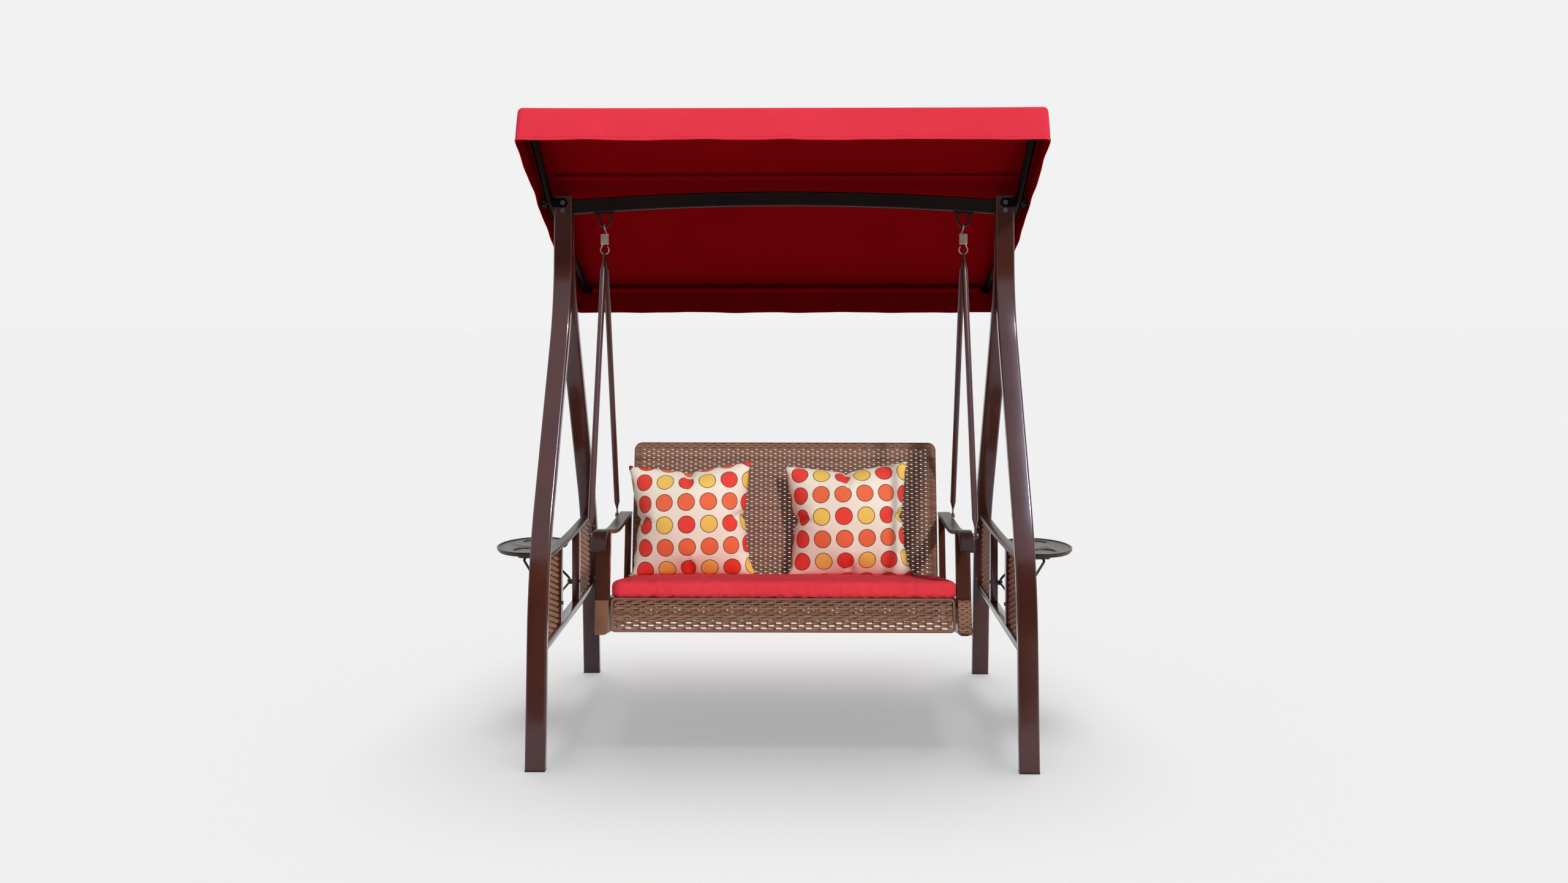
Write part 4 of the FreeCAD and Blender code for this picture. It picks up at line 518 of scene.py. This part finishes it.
# Woven cloth: two sets of threads that cross, with slubs and a slow change of tone.
cloth, cloth_in, cloth_out = new_group(
    "woven_cloth",
    [("Colour", "c", (0.6, 0.03, 0.05, 1)), ("Deep", "c", (0.4, 0.02, 0.03, 1)), ("Threads", "f", 1100.0)],
    [("Colour", "c"), ("Roughness", "f"), ("Height", "f")])
spot = cloth.nodes.new("ShaderNodeTexCoord").outputs["Object"]
parts = cloth.nodes.new("ShaderNodeSeparateXYZ")
cloth.links.new(spot, parts.inputs[0])
full_turns = reckon(cloth, "MULTIPLY", cloth_in.outputs["Threads"], 6.283)
across = reckon(cloth, "SINE", reckon(cloth, "MULTIPLY", parts.outputs["X"], full_turns))
slant = reckon(cloth, "SUBTRACT", parts.outputs["Z"], parts.outputs["Y"])
along = reckon(cloth, "SINE", reckon(cloth, "MULTIPLY", slant, full_turns))
threads = reckon(cloth, "MULTIPLY", across, along)
tone = noise(cloth, spot, 5.0, 5.0)
slub = noise(cloth, spot, 160.0, 2.0)
mixed = reckon(cloth, "MULTIPLY_ADD", slub, 0.35, reckon(cloth, "MULTIPLY_ADD", tone, 0.65, 0.0))
share = spread(cloth, mixed, 0.3, 0.7, 0.0, 1.0)
colour = tint(cloth, share, cloth_in.outputs["Deep"], cloth_in.outputs["Colour"])
cloth.links.new(colour, cloth_out.inputs["Colour"])
cloth.links.new(spread(cloth, slub, 0.2, 0.8, 0.86, 0.66), cloth_out.inputs["Roughness"])
cloth.links.new(reckon(cloth, "MULTIPLY_ADD", threads, 0.25, slub), cloth_out.inputs["Height"])


def clothed(name, colour, deep, **shader):
    """A cloth material of the woven_cloth group."""
    values = {"Colour": colour + (1,), "Deep": deep + (1,), "Threads": 1100.0}
    return finished(name, cloth, values, 0.25, 0.0005, shader)


canopy_red = clothed("canopy_red_cloth", (0.76, 0.034, 0.062), (0.68, 0.026, 0.050), Sheen_Weight=0.02,
                     Specular_IOR_Level=0.12)
# The underside of the same sheet takes a darker, deeper red: painted shade under the roof.
shaded_underside_red = clothed("canopy_underside_painted_shade", (0.205, 0.0016, 0.0040), (0.172, 0.0013, 0.0033), Sheen_Weight=0.0,
                     Specular_IOR_Level=0.0)
cover.data.materials.append(canopy_red)
# The second slot, worn by the inner shell of the sheet, is the painted-shade red.
cover.data.materials.append(shaded_underside_red)
thickness.material_offset = 1
thickness.material_offset_rim = 0
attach(cover, "canopy")
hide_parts("canopy_cover")
backward = tilted((0, 1, 0), (0, 0, 0), canopy_lean)
# The roof seam and the bar sleeves under the roof wear the painted-shade red as well.
seam_line = in_canopy([(-0.760, -0.0500, 0.0660), (0.760, -0.0500, 0.0660)])
seam = swept("canopy_roof_seam", seam_line, backward, rounded(0.016, 0.0016, 0.0006, 3), "canopy", shaded_underside_red)
for name, y in (("front", -0.424), ("rear", 0.764)):
    line = in_canopy([(x, y, 0.0575) for x in (-0.742, -0.740, 0.740, 0.742)])
    sleeve = swept("bar_sleeve_" + name, line, backward, ring(0.0120, 20), "canopy", shaded_underside_red)

# Canopy frame. Round tubes, bent at the middle where each arm turns on its bolt, and closed at both
# ends by a cross bar. The knobs outside them are black moulded plastic.

dress(matt_coat, "canopy_arm_right", "canopy_arm_left", "canopy_front_bar", "canopy_rear_bar",
      "canopy_bracket_right", "canopy_bracket_left")
black_plastic = grained("black_plastic", (0.018, 0.018, 0.018), (0.012, 0.012, 0.012), 0.5, 0.36,
                        size=1400.0, bump=0.12)


def softened(node, width, material, body, steps=2):
    """The CAD piece again, with edges of over 38 degrees broken by a small bevel that catches the light."""
    mesh = nodes[node].data.copy()
    shell = bmesh.new()
    shell.from_mesh(mesh)
    bmesh.ops.remove_doubles(shell, verts=shell.verts, dist=0.00001)
    bmesh.ops.dissolve_limit(shell, angle_limit=math.radians(0.5), verts=shell.verts, edges=shell.edges)
    shell.to_mesh(mesh)
    shell.free()
    mesh.shade_smooth()
    mesh.materials.clear()
    mesh.materials.append(material)
    piece = bpy.data.objects.new("soft_edged_" + node, mesh)
    bpy.context.collection.objects.link(piece)
    bevel = piece.modifiers.new("broken_edges", "BEVEL")
    bevel.width = width
    bevel.segments = steps
    bevel.limit_method = "ANGLE"
    bevel.angle_limit = math.radians(38)
    bevel.harden_normals = True
    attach(piece, body)
    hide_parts(node)


for side in ("right", "left"):
    softened("canopy_knob_" + side, 0.0012, black_plastic, "knob_" + side)

# Hangers. Bent round bar on a small plate under the beam, a close-wound zinc-plated spring on each, and
# solid round rods below, pressed flat round their eyes and bolted to the armrests.

bright_steel = grained("bright_zinc", (0.78, 0.75, 0.70), (0.60, 0.57, 0.53), 0.42, 0.28, 40.0, 2600.0, 0.1,
                       0.0002, Metallic=1.0)
dull_steel = grained("dull_zinc", (0.26, 0.25, 0.24), (0.18, 0.17, 0.16), 0.46, 0.34, 40.0, 2600.0, 0.1,
                     0.0002, Metallic=1.0)
dress(bright_steel, "spring_right", "spring_left", "tray_hinge_pins")
dress(dull_steel, "apex_bolts", "panel_bolts", "rod_bolts", "canopy_pivot_bolts")
dress(dark_coat, "hanger_loop_right", "hanger_loop_left")
dress(brown_coat, "hanging_rod_front_right", "hanging_rod_front_left", "hanging_rod_rear_right",
      "hanging_rod_rear_left")

# Small pieces of the stand. The caps are moulded, the panels' rails and slats have broken edges, and each
# tray is one plastic moulding with a raised rim and two shallow wells for cups.

foot_rubber = grained("foot_rubber", (0.016, 0.015, 0.014), (0.011, 0.010, 0.010), 0.8, 0.6,
                      size=1500.0, bump=0.2)
tray_brown = grained("tray_plastic", (0.030, 0.013, 0.009), (0.022, 0.010, 0.007), 0.38, 0.26,
                     8.0, 1300.0, 0.12)
softened("foot_caps", 0.0012, foot_rubber, "stand")
softened("leg_top_caps", 0.0012, black_plastic, "stand")
softened("tray_hinge_lugs", 0.0004, dark_coat, "stand")
for side in ("right", "left"):
    softened("top_rail_" + side, 0.0022, satin_coat, "stand", 3)
    softened("lower_rail_" + side, 0.0022, brown_coat, "stand", 3)
    softened("side_slats_" + side, 0.0018, brown_coat, "stand", 3)
    softened("tray_" + side, 0.0012, tray_brown, "tray_" + side)
    dress(dark_coat, "tray_stay_" + side)
dress(black_plastic, "tray_stay_clips")

# Seat frame. The armrests are flat tube with a slight bow, curled down at the front, on two pairs of posts.
# A ring of square tube carries the seat, and a flat strap outside each side box reaches up to the armrest.

arm_line = bent_line((0.56139, 0.3126), 190.7, [(0.246,), (0.860, 180), (0.150,), (0.090, 240), (0.015,)])
twins("armrest", in_seat(np.insert(arm_line, 0, 0.5595, 1)), (1, 0, 0), rounded(0.045, 0.014, 0.005), "seat",
      satin_coat)
for node in ("front_posts", "rear_posts"):
    softened(node, 0.0022, brown_coat, "seat", 3)
dress(brown_coat, "seat_frame", "side_straps")

# Wicker. Flat brown plastic strands are woven round stiff upright stakes: each row passes in front of one
# stake and behind the next, and its neighbours the other way. Notches in their edges leave short slits open
# between the stakes.

wicker = bpy.data.materials.new("brown_wicker")
wicker.use_nodes = True
tree = wicker.node_tree
skin = tree.nodes["Principled BSDF"]
shade = tree.nodes.new("ShaderNodeAttribute")
shade.attribute_name = "strand_tone"
spot = tree.nodes.new("ShaderNodeTexCoord").outputs["Object"]
streak = noise(tree, spot, 420.0, 2.0)
own_tone = reckon(tree, "MULTIPLY_ADD", shade.outputs["Fac"], 0.8, -0.2)
blend = reckon(tree, "MULTIPLY_ADD", streak, 0.5, own_tone)
share = spread(tree, blend, 0.0, 1.0, 0.0, 1.0)
dark_strand, pale_strand = (0.152, 0.064, 0.038, 1), (0.365, 0.184, 0.114, 1)
tree.links.new(tint(tree, share, dark_strand, pale_strand), skin.inputs["Base Color"])
skin.inputs["Roughness"].default_value = 0.46
skin.inputs["Specular IOR Level"].default_value = 0.3


def toned(piece, tones):
    """Gives each point of a wicker piece its tone, from 0 for dark to 1 for pale."""
    piece.data.attributes.new("strand_tone", "FLOAT", "POINT").data.foreach_set("value", tones)


def woven(name, left, low, columns, rows, place, body, replaced=(), pitch=0.0230, step=0.0078, depth=0.0020,
          gap=0.0034, slit=0.45, thick=0.0004, sunlit_paling=0.0):
    """A woven panel of straight rows of flat strands.

    With c = cos(pi * u / pitch) and s = (-1)^r, row r runs along u at the height step * (r + 1/2) and the
    depth s * depth * sin(pi * u / pitch). Its upper edge gives way by gap / 2 where s * c > slit, and its
    lower edge where s * c < -slit, which leaves a slit between the two stakes.
    """
    half = step / 2 - 0.00008
    turn = math.acos(slit) / math.pi
    places = np.array((turn - 0.025, turn + 0.025, 0.975 - turn, 1.025 - turn))
    along = np.concatenate([[0], (np.arange(columns)[:, None] + places).ravel(), [columns]]) * pitch
    row = np.arange(rows)[:, None]
    sign = 1.0 - 2.0 * (row % 2)
    c = sign * np.cos(math.pi * along / pitch)
    upper = half - gap / 2 * (c > slit)
    lower = -half + gap / 2 * (c < -slit)
    weave = sign * depth * np.sin(math.pi * along / pitch)
    points = np.empty((rows, len(along), 4, 3))
    points[..., 0] = left + along[None, :, None]
    points[..., 1] = low + step * (row + 0.5)[..., None] + np.stack([upper, lower, lower, upper], -1)
    points[..., 2] = weave[..., None] + np.array((thick, thick, -thick, -thick))
    one = np.array(grid_faces(len(along), 4))
    first = (np.arange(rows) * len(along) * 4)[:, None, None]
    faces = (one[None] + first).reshape(-1, 4).tolist()
    caps = np.array([np.arange(4)[::-1], (len(along) - 1) * 4 + np.arange(4)])
    faces += (caps[None] + first).reshape(-1, 4).tolist()
    piece = solid_mesh(name, place(points), faces)
    piece.data.shade_flat()
    tones = np.random.default_rng(len(name) + rows).random((rows, 1, 1)) * 0.7
    # The drift below moves every strand of a panel towards the pale colour by a given amount; on the side
    # bays this is painted sunlight.
    drift = 0.15 + sunlit_paling + 0.12 * np.sin(along * 31 + row * 1.7)[..., None]
    toned(piece, np.broadcast_to(tones + drift, points.shape[:3]).astype(np.float32).ravel())
    piece.data.materials.append(wicker)
    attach(piece, body)
    if replaced:
        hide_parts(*replaced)


def staked(name, first, low, high, count, place, body, radius=0.0013, pitch=0.0225):
    """The upright stakes of a woven panel, as round rods at an even spacing."""
    circle = ring(radius, 8)
    points = np.empty((count, 2, 8, 3))
    points[..., 0] = first + pitch * np.arange(count)[:, None, None] + circle[:, 0]
    points[..., 1] = np.array((low, high))[None, :, None]
    points[..., 2] = circle[:, 1]
    one = grid_faces(2, 8) + [list(range(8))[::-1], list(range(8, 16))]
    faces = [[corner + 16 * index for corner in face] for index in range(count) for face in one]
    piece = solid_mesh(name, place(points), faces)
    toned(piece, [0.35] * (count * 16))
    piece.data.materials.append(wicker)
    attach(piece, body)


back_half, back_top, back_corner = 0.5270, 0.5565, 0.020


def on_back(points):
    """Panel measure (across, up, forward) to the front of the back rest's tube, inside its round corners."""
    x, z, forward = points[..., 0], points[..., 1], points[..., 2]
    inset = back_corner - np.sqrt(back_corner ** 2 - np.clip(z - back_top + back_corner, 0, back_corner) ** 2)
    outer = np.clip((np.abs(x) - back_half + 0.045) / 0.045, 0, 1)
    return in_seat(np.stack([x - np.sign(x) * outer * inset, 0.5245 - forward, z], -1))


def on_apron(points):
    """Panel measure (across, up, forward) to the front tube of the seat."""
    return in_seat(np.stack([points[..., 0], 0.007 - points[..., 2], points[..., 1]], -1))


woven("back_weave", -back_half, -0.0530, 64, 84, on_back, "seat", ("back_wicker",), back_half / 32, 0.007256,
      0.0017, 0.0023, 0.80)
staked("back_stakes", back_half / 64 - back_half, -0.052, 0.553, 64, on_back, "seat", 0.0009, back_half / 32)
softened("back_frame", 0.0004, brown_coat, "seat")
woven("apron_weave", -0.5175, -0.0468, 45, 12, on_apron, "seat", ("front_apron",))
staked("apron_stakes", -0.5060, -0.047, 0.047, 45, on_apron, "seat", pitch=0.0230)
rim_half, rim_height, rim_bend = 0.512, 0.071, 0.012
rim_line = bent_line((0, 0.0475), 0, [
    (rim_half,), (rim_bend, -90), (rim_height,), (rim_bend, -180), (2 * rim_half,), (rim_bend, -270),
    (rim_height,), (rim_bend, -360), (rim_half,)], fine=9)
rim = swept("apron_rim", in_seat(np.insert(rim_line, 1, 0.007, 1)), tilted((0, 1, 0), (0, 0, 0), seat_lean),
            ring(0.0042, 12), "seat", wicker)
toned(rim, [0.3] * len(rim.data.vertices))
tan_plastic = grained("tan_plastic", (0.205, 0.090, 0.048), (0.170, 0.072, 0.037), 0.42, 0.3,
                      12.0, 1100.0, 0.1)
softened("side_box_left", 0.0015, tan_plastic, "seat", 3)
softened("side_box_right", 0.0015, brown_coat, "seat", 3)


def on_box(points):
    """Panel measure (back, up, outward) to the outer face of the right-hand side box."""
    return in_seat(np.stack([0.5762 + points[..., 2], points[..., 0], points[..., 1]], -1))


def on_box_front(points):
    """Panel measure (across, up, forward) to the front face of the right-hand side box."""
    return in_seat(np.stack([0.5340 + points[..., 0], -0.0012 - points[..., 2], points[..., 1]], -1))


woven("side_box_weave", 0.0, -0.055, 44, 14, on_box, "seat", pitch=0.0125, step=0.0071,
      depth=0.0008, gap=0.0026)
woven("side_box_front_weave", 0.0015, -0.053, 3, 14, on_box_front, "seat", pitch=0.0130, step=0.0071,
      depth=0.0008, gap=0.0026)
for side, sign in (("right", 1), ("left", -1)):
    def on_side(points):
        """Panel measure (back, up, outward) to the wicker bays of one side of the stand."""
        return np.stack([sign * (0.720 + points[..., 2]), points[..., 0], points[..., 1]], -1)

    for place, start, columns in (("front", -0.522, 9), ("rear", 0.112, 8)):
        # The bay strands are paled far: painted sunlight on the side wicker.
        woven("%s_bay_weave_%s" % (place, side), start, 0.345, columns, 27, on_side, "stand",
              ("side_wicker_%s_%s" % (place, side),), pitch=0.030, step=0.009, depth=0.0060, gap=0.0040,
              slit=0.3, thick=0.0010, sunlit_paling=0.85)

# Cushion. A boxed foam cushion in the canopy's red cloth. Cover and foam are simulated as a cloth bag
# under an even inner pressure. A crown on top and small wrinkles in front are added by formula.


def lattice(xs, ys, zs):
    """The surface of a box lattice: its points and its faces."""
    shape = (len(xs), len(ys), len(zs))
    spots = np.stack(np.meshgrid(xs, ys, zs, indexing="ij"), -1)
    on_end = np.stack(np.meshgrid(*[np.isin(np.arange(n), (0, n - 1)) for n in shape], indexing="ij"), -1)
    skin = on_end.any(-1)
    number = np.full(shape, -1)
    number[skin] = np.arange(skin.sum())
    faces = []
    for axis in range(3):
        for end in (0, -1):
            side = np.take(number, end, axis)
            quads = np.stack([side[:-1, :-1], side[1:, :-1], side[1:, 1:], side[:-1, 1:]], -1)
            faces += quads.reshape(-1, 4).tolist()
    return spots[skin], faces


def blown(piece, frames, pressure, stiff, bend, shrink=0.0, held=None):
    """Runs the cloth simulation under inner pressure and returns the settled points.

    held gives the share to which a foam core pins every point, and the stiffness of that pinning.
    """
    modifier = piece.modifiers.new("bag", "CLOTH")
    rules = modifier.settings
    rules.quality = 6
    rules.mass = 0.2
    rules.tension_stiffness = rules.compression_stiffness = stiff
    rules.shear_stiffness = stiff * 0.4
    rules.bending_stiffness = bend
    rules.tension_damping = rules.compression_damping = rules.shear_damping = 5
    rules.air_damping = 2
    rules.use_pressure = True
    rules.uniform_pressure_force = pressure
    rules.shrink_min = shrink
    rules.effector_weights.gravity = 0
    if held:
        piece.vertex_groups.new(name="foam").add(range(len(piece.data.vertices)), held[0], "REPLACE")
        rules.vertex_group_mass = "foam"
        rules.pin_stiffness = held[1]
    modifier.collision_settings.use_collision = False
    modifier.point_cache.frame_start = 1
    modifier.point_cache.frame_end = frames
    for number in range(1, frames + 1):
        bpy.context.scene.frame_set(number)
    settled = piece.evaluated_get(bpy.context.evaluated_depsgraph_get())
    points = np.empty(len(piece.data.vertices) * 3)
    settled.data.vertices.foreach_get("co", points)
    piece.modifiers.remove(modifier)
    bpy.context.scene.frame_set(1)
    return points.reshape(-1, 3)


def shares_of(half, near=(0, 0.004, 0.008, 0.013, 0.020), spacing=0.0115):
    """Places from -half to half, close together near both ends."""
    inner = half - near[-1]
    middle = np.linspace(-inner, inner, round(2 * inner / spacing) + 1)
    ends = half - np.array(near[:-1])
    return np.concatenate([-ends, middle, ends[::-1]])


cushion_half = np.array((0.5300, 0.2560, 0.0245))
corner_radius, edge_round = 0.030, 0.016
levels = cushion_half[2] * np.array((-1, -0.85, -0.68, -0.4, -0.13, 0.13, 0.4, 0.68, 0.85, 1))
spots, faces = lattice(shares_of(cushion_half[0]), shares_of(cushion_half[1]), levels)
# First the corners in plan and then the edges are rounded: what lies beyond a core is drawn on to an arc.
core = cushion_half[:2] - corner_radius
beyond = spots[:, :2] - np.clip(spots[:, :2], -core, core)
reach = np.linalg.norm(beyond, axis=1, keepdims=True)
longest = np.max(np.abs(beyond), axis=1, keepdims=True)
spots[:, :2] += np.where(reach > 0, beyond * (longest / np.maximum(reach, 1e-9) - 1), 0)
beyond = spots[:, :2] - np.clip(spots[:, :2], -core, core)
reach = np.linalg.norm(beyond, axis=1, keepdims=True)
way = beyond / np.maximum(reach, 1e-9)
over = np.maximum(reach - (corner_radius - edge_round), 0)
height = spots[:, 2:]
above = np.sign(height) * np.maximum(np.abs(height) - (cushion_half[2] - edge_round), 0)
both = np.hypot(over, above)
longest = np.maximum(over, np.abs(above))
pull = np.where(both > 0, longest / np.maximum(both, 1e-9), 1)
spots[:, :2] += way * over * (pull - 1)
spots[:, 2:] += above * (pull - 1)
cushion = solid_mesh("cushion_bag", spots, faces)
puffed = blown(cushion, 20, 1.2, 9.0, 0.12, shrink=-0.035, held=(0.35, 0.6))
bulge = 0.007 * (1 - (puffed[:, 0] / 0.54) ** 2) * (1 - (puffed[:, 1] / 0.265) ** 4)
puffed[:, 2] += np.where(puffed[:, 2] > 0, bulge, 0)
# On the front face the cover pulls into small slanting wrinkles.
creases = 0.0008 * np.sin(95 * puffed[:, 0] + 60 * puffed[:, 2]) * np.sin(37 * puffed[:, 0] + 1.3)
puffed[:, 1] += creases * np.clip(-puffed[:, 1] / 0.03 - 7.3, 0, 1)
cushion.data.vertices.foreach_set("co", in_seat(puffed + (0.0035, 0.253, 0.0768)).ravel())
cushion_red = clothed("cushion_red_cloth", (0.79, 0.046, 0.064), (0.72, 0.036, 0.053), Sheen_Weight=0.02,
                      Specular_IOR_Level=0.12)
cushion.data.materials.append(cushion_red)
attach(cushion, "seat")
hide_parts("seat_cushion")

# Pillows. Two square sheets of printed cotton are sewn together round their border and filled. The
# simulation starts from the flat sheets, so sides draw in, corners stay pointed and the seams pucker.

pillow_size, pillow_cells = (0.452, 0.440), 44
# How far the outline goes back towards the cut square at the sides, and how much flatter and lower the
# fibre leaves the pillow than air does.
side_pull, flatter, lower = 0.32, 0.86, 0.94
# The top of the cushion, and the depth over which it presses the pillow flat.
seat_level, give = 0.1000, 0.012


def pillow_bag(name, size, cells, node, centre, turn, dots):
    """One pillow: both sheets share their border points, and cloth_at keeps each point's flat place."""
    count = cells + 1
    front = np.arange(count * count).reshape(count, count)
    border = np.zeros((count, count), bool)
    border[[0, -1]] = border[:, [0, -1]] = True
    rear = front.copy()
    rear[~border] = count * count + np.arange((~border).sum())
    u, v = np.meshgrid(np.linspace(-0.5, 0.5, count), np.linspace(-0.5, 0.5, count), indexing="ij")
    across = u * size[0]
    up = v * size[1] - 0.018 * np.clip(-2 * v, 0, 1) ** 2 * (1 - (2 * u) ** 2)
    rise = 0.004 * (1 - border)
    points = np.concatenate([
        np.stack([across, -rise, up], -1).reshape(-1, 3),
        np.stack([across, rise, up], -1)[~border]])
    quads = np.stack([front[:-1, :-1], front[1:, :-1], front[1:, 1:], front[:-1, 1:]], -1).reshape(-1, 4)
    back = np.stack([rear[:-1, :-1], rear[:-1, 1:], rear[1:, 1:], rear[1:, :-1]], -1).reshape(-1, 4)
    piece = solid_mesh(name, points, quads.tolist() + back.tolist())
    puffed = blown(piece, 34, 5.0, 7.0, 0.12)
    # Loose fibre fills it less than air would: the outline keeps nearer to the cut square, most of all
    # along the side that it stands on.
    square, height = (0.97 * np.concatenate([sheet.ravel(), sheet[~border]]) for sheet in (across, up))
    firm = 0.36 + 0.5 * np.clip(-2 * height / size[1], 0, 1) ** 2
    puffed[:, 0] += (square - puffed[:, 0]) * side_pull
    puffed[:, 1] *= flatter
    puffed[:, 2] += (height - puffed[:, 2]) * firm
    lean = math.radians(turn)
    spin = np.array([(math.cos(lean), 0, math.sin(lean)), (0, 1, 0), (-math.sin(lean), 0, math.cos(lean))])
    puffed[:, 2] *= lower
    puffed = puffed @ spin + centre
    # Below the cushion's top the pillow is pressed flat and spreads.
    spread_out = np.clip((centre[2] - 0.115 - puffed[:, 2]) / 0.085, 0, 1) ** 2
    puffed[:, 0] += 0.05 * spread_out * (puffed[:, 0] - centre[0])
    sunk = np.clip(seat_level + give - puffed[:, 2], 0, None)
    puffed[:, 2] = np.where(sunk > 0, seat_level + give * np.exp(-sunk / give), puffed[:, 2])
    piece.data.vertices.foreach_set("co", in_seat(puffed).ravel())
    flat = np.stack([across - dots[0], lower * up - dots[1]], -1)
    place = np.concatenate([flat.reshape(-1, 2), flat[~border]])
    place = np.insert(place, 2, 0, 1).astype(np.float32)
    piece.data.attributes.new("cloth_at", "FLOAT_VECTOR", "POINT").data.foreach_set("vector", place.ravel())
    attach(piece, "seat")
    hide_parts(node)
    return piece


# Printed cotton: dots of 56 mm at 76.5 mm, with a dark outline. Rows of orange dots, red at their ends,
# stand between rows where red and gold take turns. cloth_at starts at the middle of a red dot.
printed = bpy.data.materials.new("dotted_cotton")
printed.use_nodes = True
tree = printed.node_tree
skin = tree.nodes["Principled BSDF"]
skin.inputs["Roughness"].default_value = 0.8
skin.inputs["Specular IOR Level"].default_value = 0.15
place = tree.nodes.new("ShaderNodeAttribute")
place.attribute_name = "cloth_at"
parts = tree.nodes.new("ShaderNodeSeparateXYZ")
tree.links.new(place.outputs["Vector"], parts.inputs[0])
dot_pitch = 0.0765
column = reckon(tree, "MULTIPLY_ADD", parts.outputs["X"], 1 / dot_pitch, 0.5)
row = reckon(tree, "MULTIPLY_ADD", parts.outputs["Y"], 1 / dot_pitch, 0.5)
odd_row = reckon(tree, "FLOORED_MODULO", reckon(tree, "FLOOR", row), 2.0)
odd_column = reckon(tree, "FLOORED_MODULO", reckon(tree, "FLOOR", column), 2.0)
dx = reckon(tree, "SUBTRACT", reckon(tree, "FRACT", column), 0.5)
dz = reckon(tree, "SUBTRACT", reckon(tree, "FRACT", row), 0.5)
squared = reckon(tree, "ADD", reckon(tree, "MULTIPLY", dx, dx), reckon(tree, "MULTIPLY", dz, dz))
reach = reckon(tree, "SQRT", squared)
inside = spread(tree, reach, 0.360, 0.368, 1.0, 0.0)
outlined = spread(tree, reach, 0.392, 0.400, 1.0, 0.0)
beside = reckon(tree, "ABSOLUTE", reckon(tree, "SUBTRACT", reckon(tree, "FLOOR", column), 0.5))
outermost = reckon(tree, "GREATER_THAN", beside, 2.0)
red_dot, gold_dot, orange_dot = (0.90, 0.062, 0.045, 1), (0.96, 0.61, 0.125, 1), (0.92, 0.165, 0.072, 1)
mixed_row = tint(tree, odd_column, red_dot, gold_dot)
orange_row = tint(tree, outermost, orange_dot, red_dot)
dot = tint(tree, odd_row, mixed_row, orange_row)
ground = tint(tree, outlined, (0.97, 0.86, 0.73, 1), (0.06, 0.045, 0.02, 1))
tree.links.new(tint(tree, inside, ground, dot), skin.inputs["Base Color"])

# Side, centre in the seat's measure, turn in degrees, and where the dots start on the cloth.
pillows = (("left", (-0.322, 0.466, 0.2865), 2.2, (-0.009, -0.013)),
           ("right", (0.218, 0.466, 0.2865), 2.0, (-0.016, 0.017)))
for name, centre, turn, dots in pillows:
    pillow = pillow_bag("pillow_bag_" + name, pillow_size, pillow_cells, "pillow_" + name, centre, turn, dots)
    pillow.data.materials.append(printed)

# Webbing. The photograph hides what carries the cushion, and the CAD has a plain thin sheet in its place,
# which is shown as it is, in plain black.

dress(black_plastic, "seat_webbing")
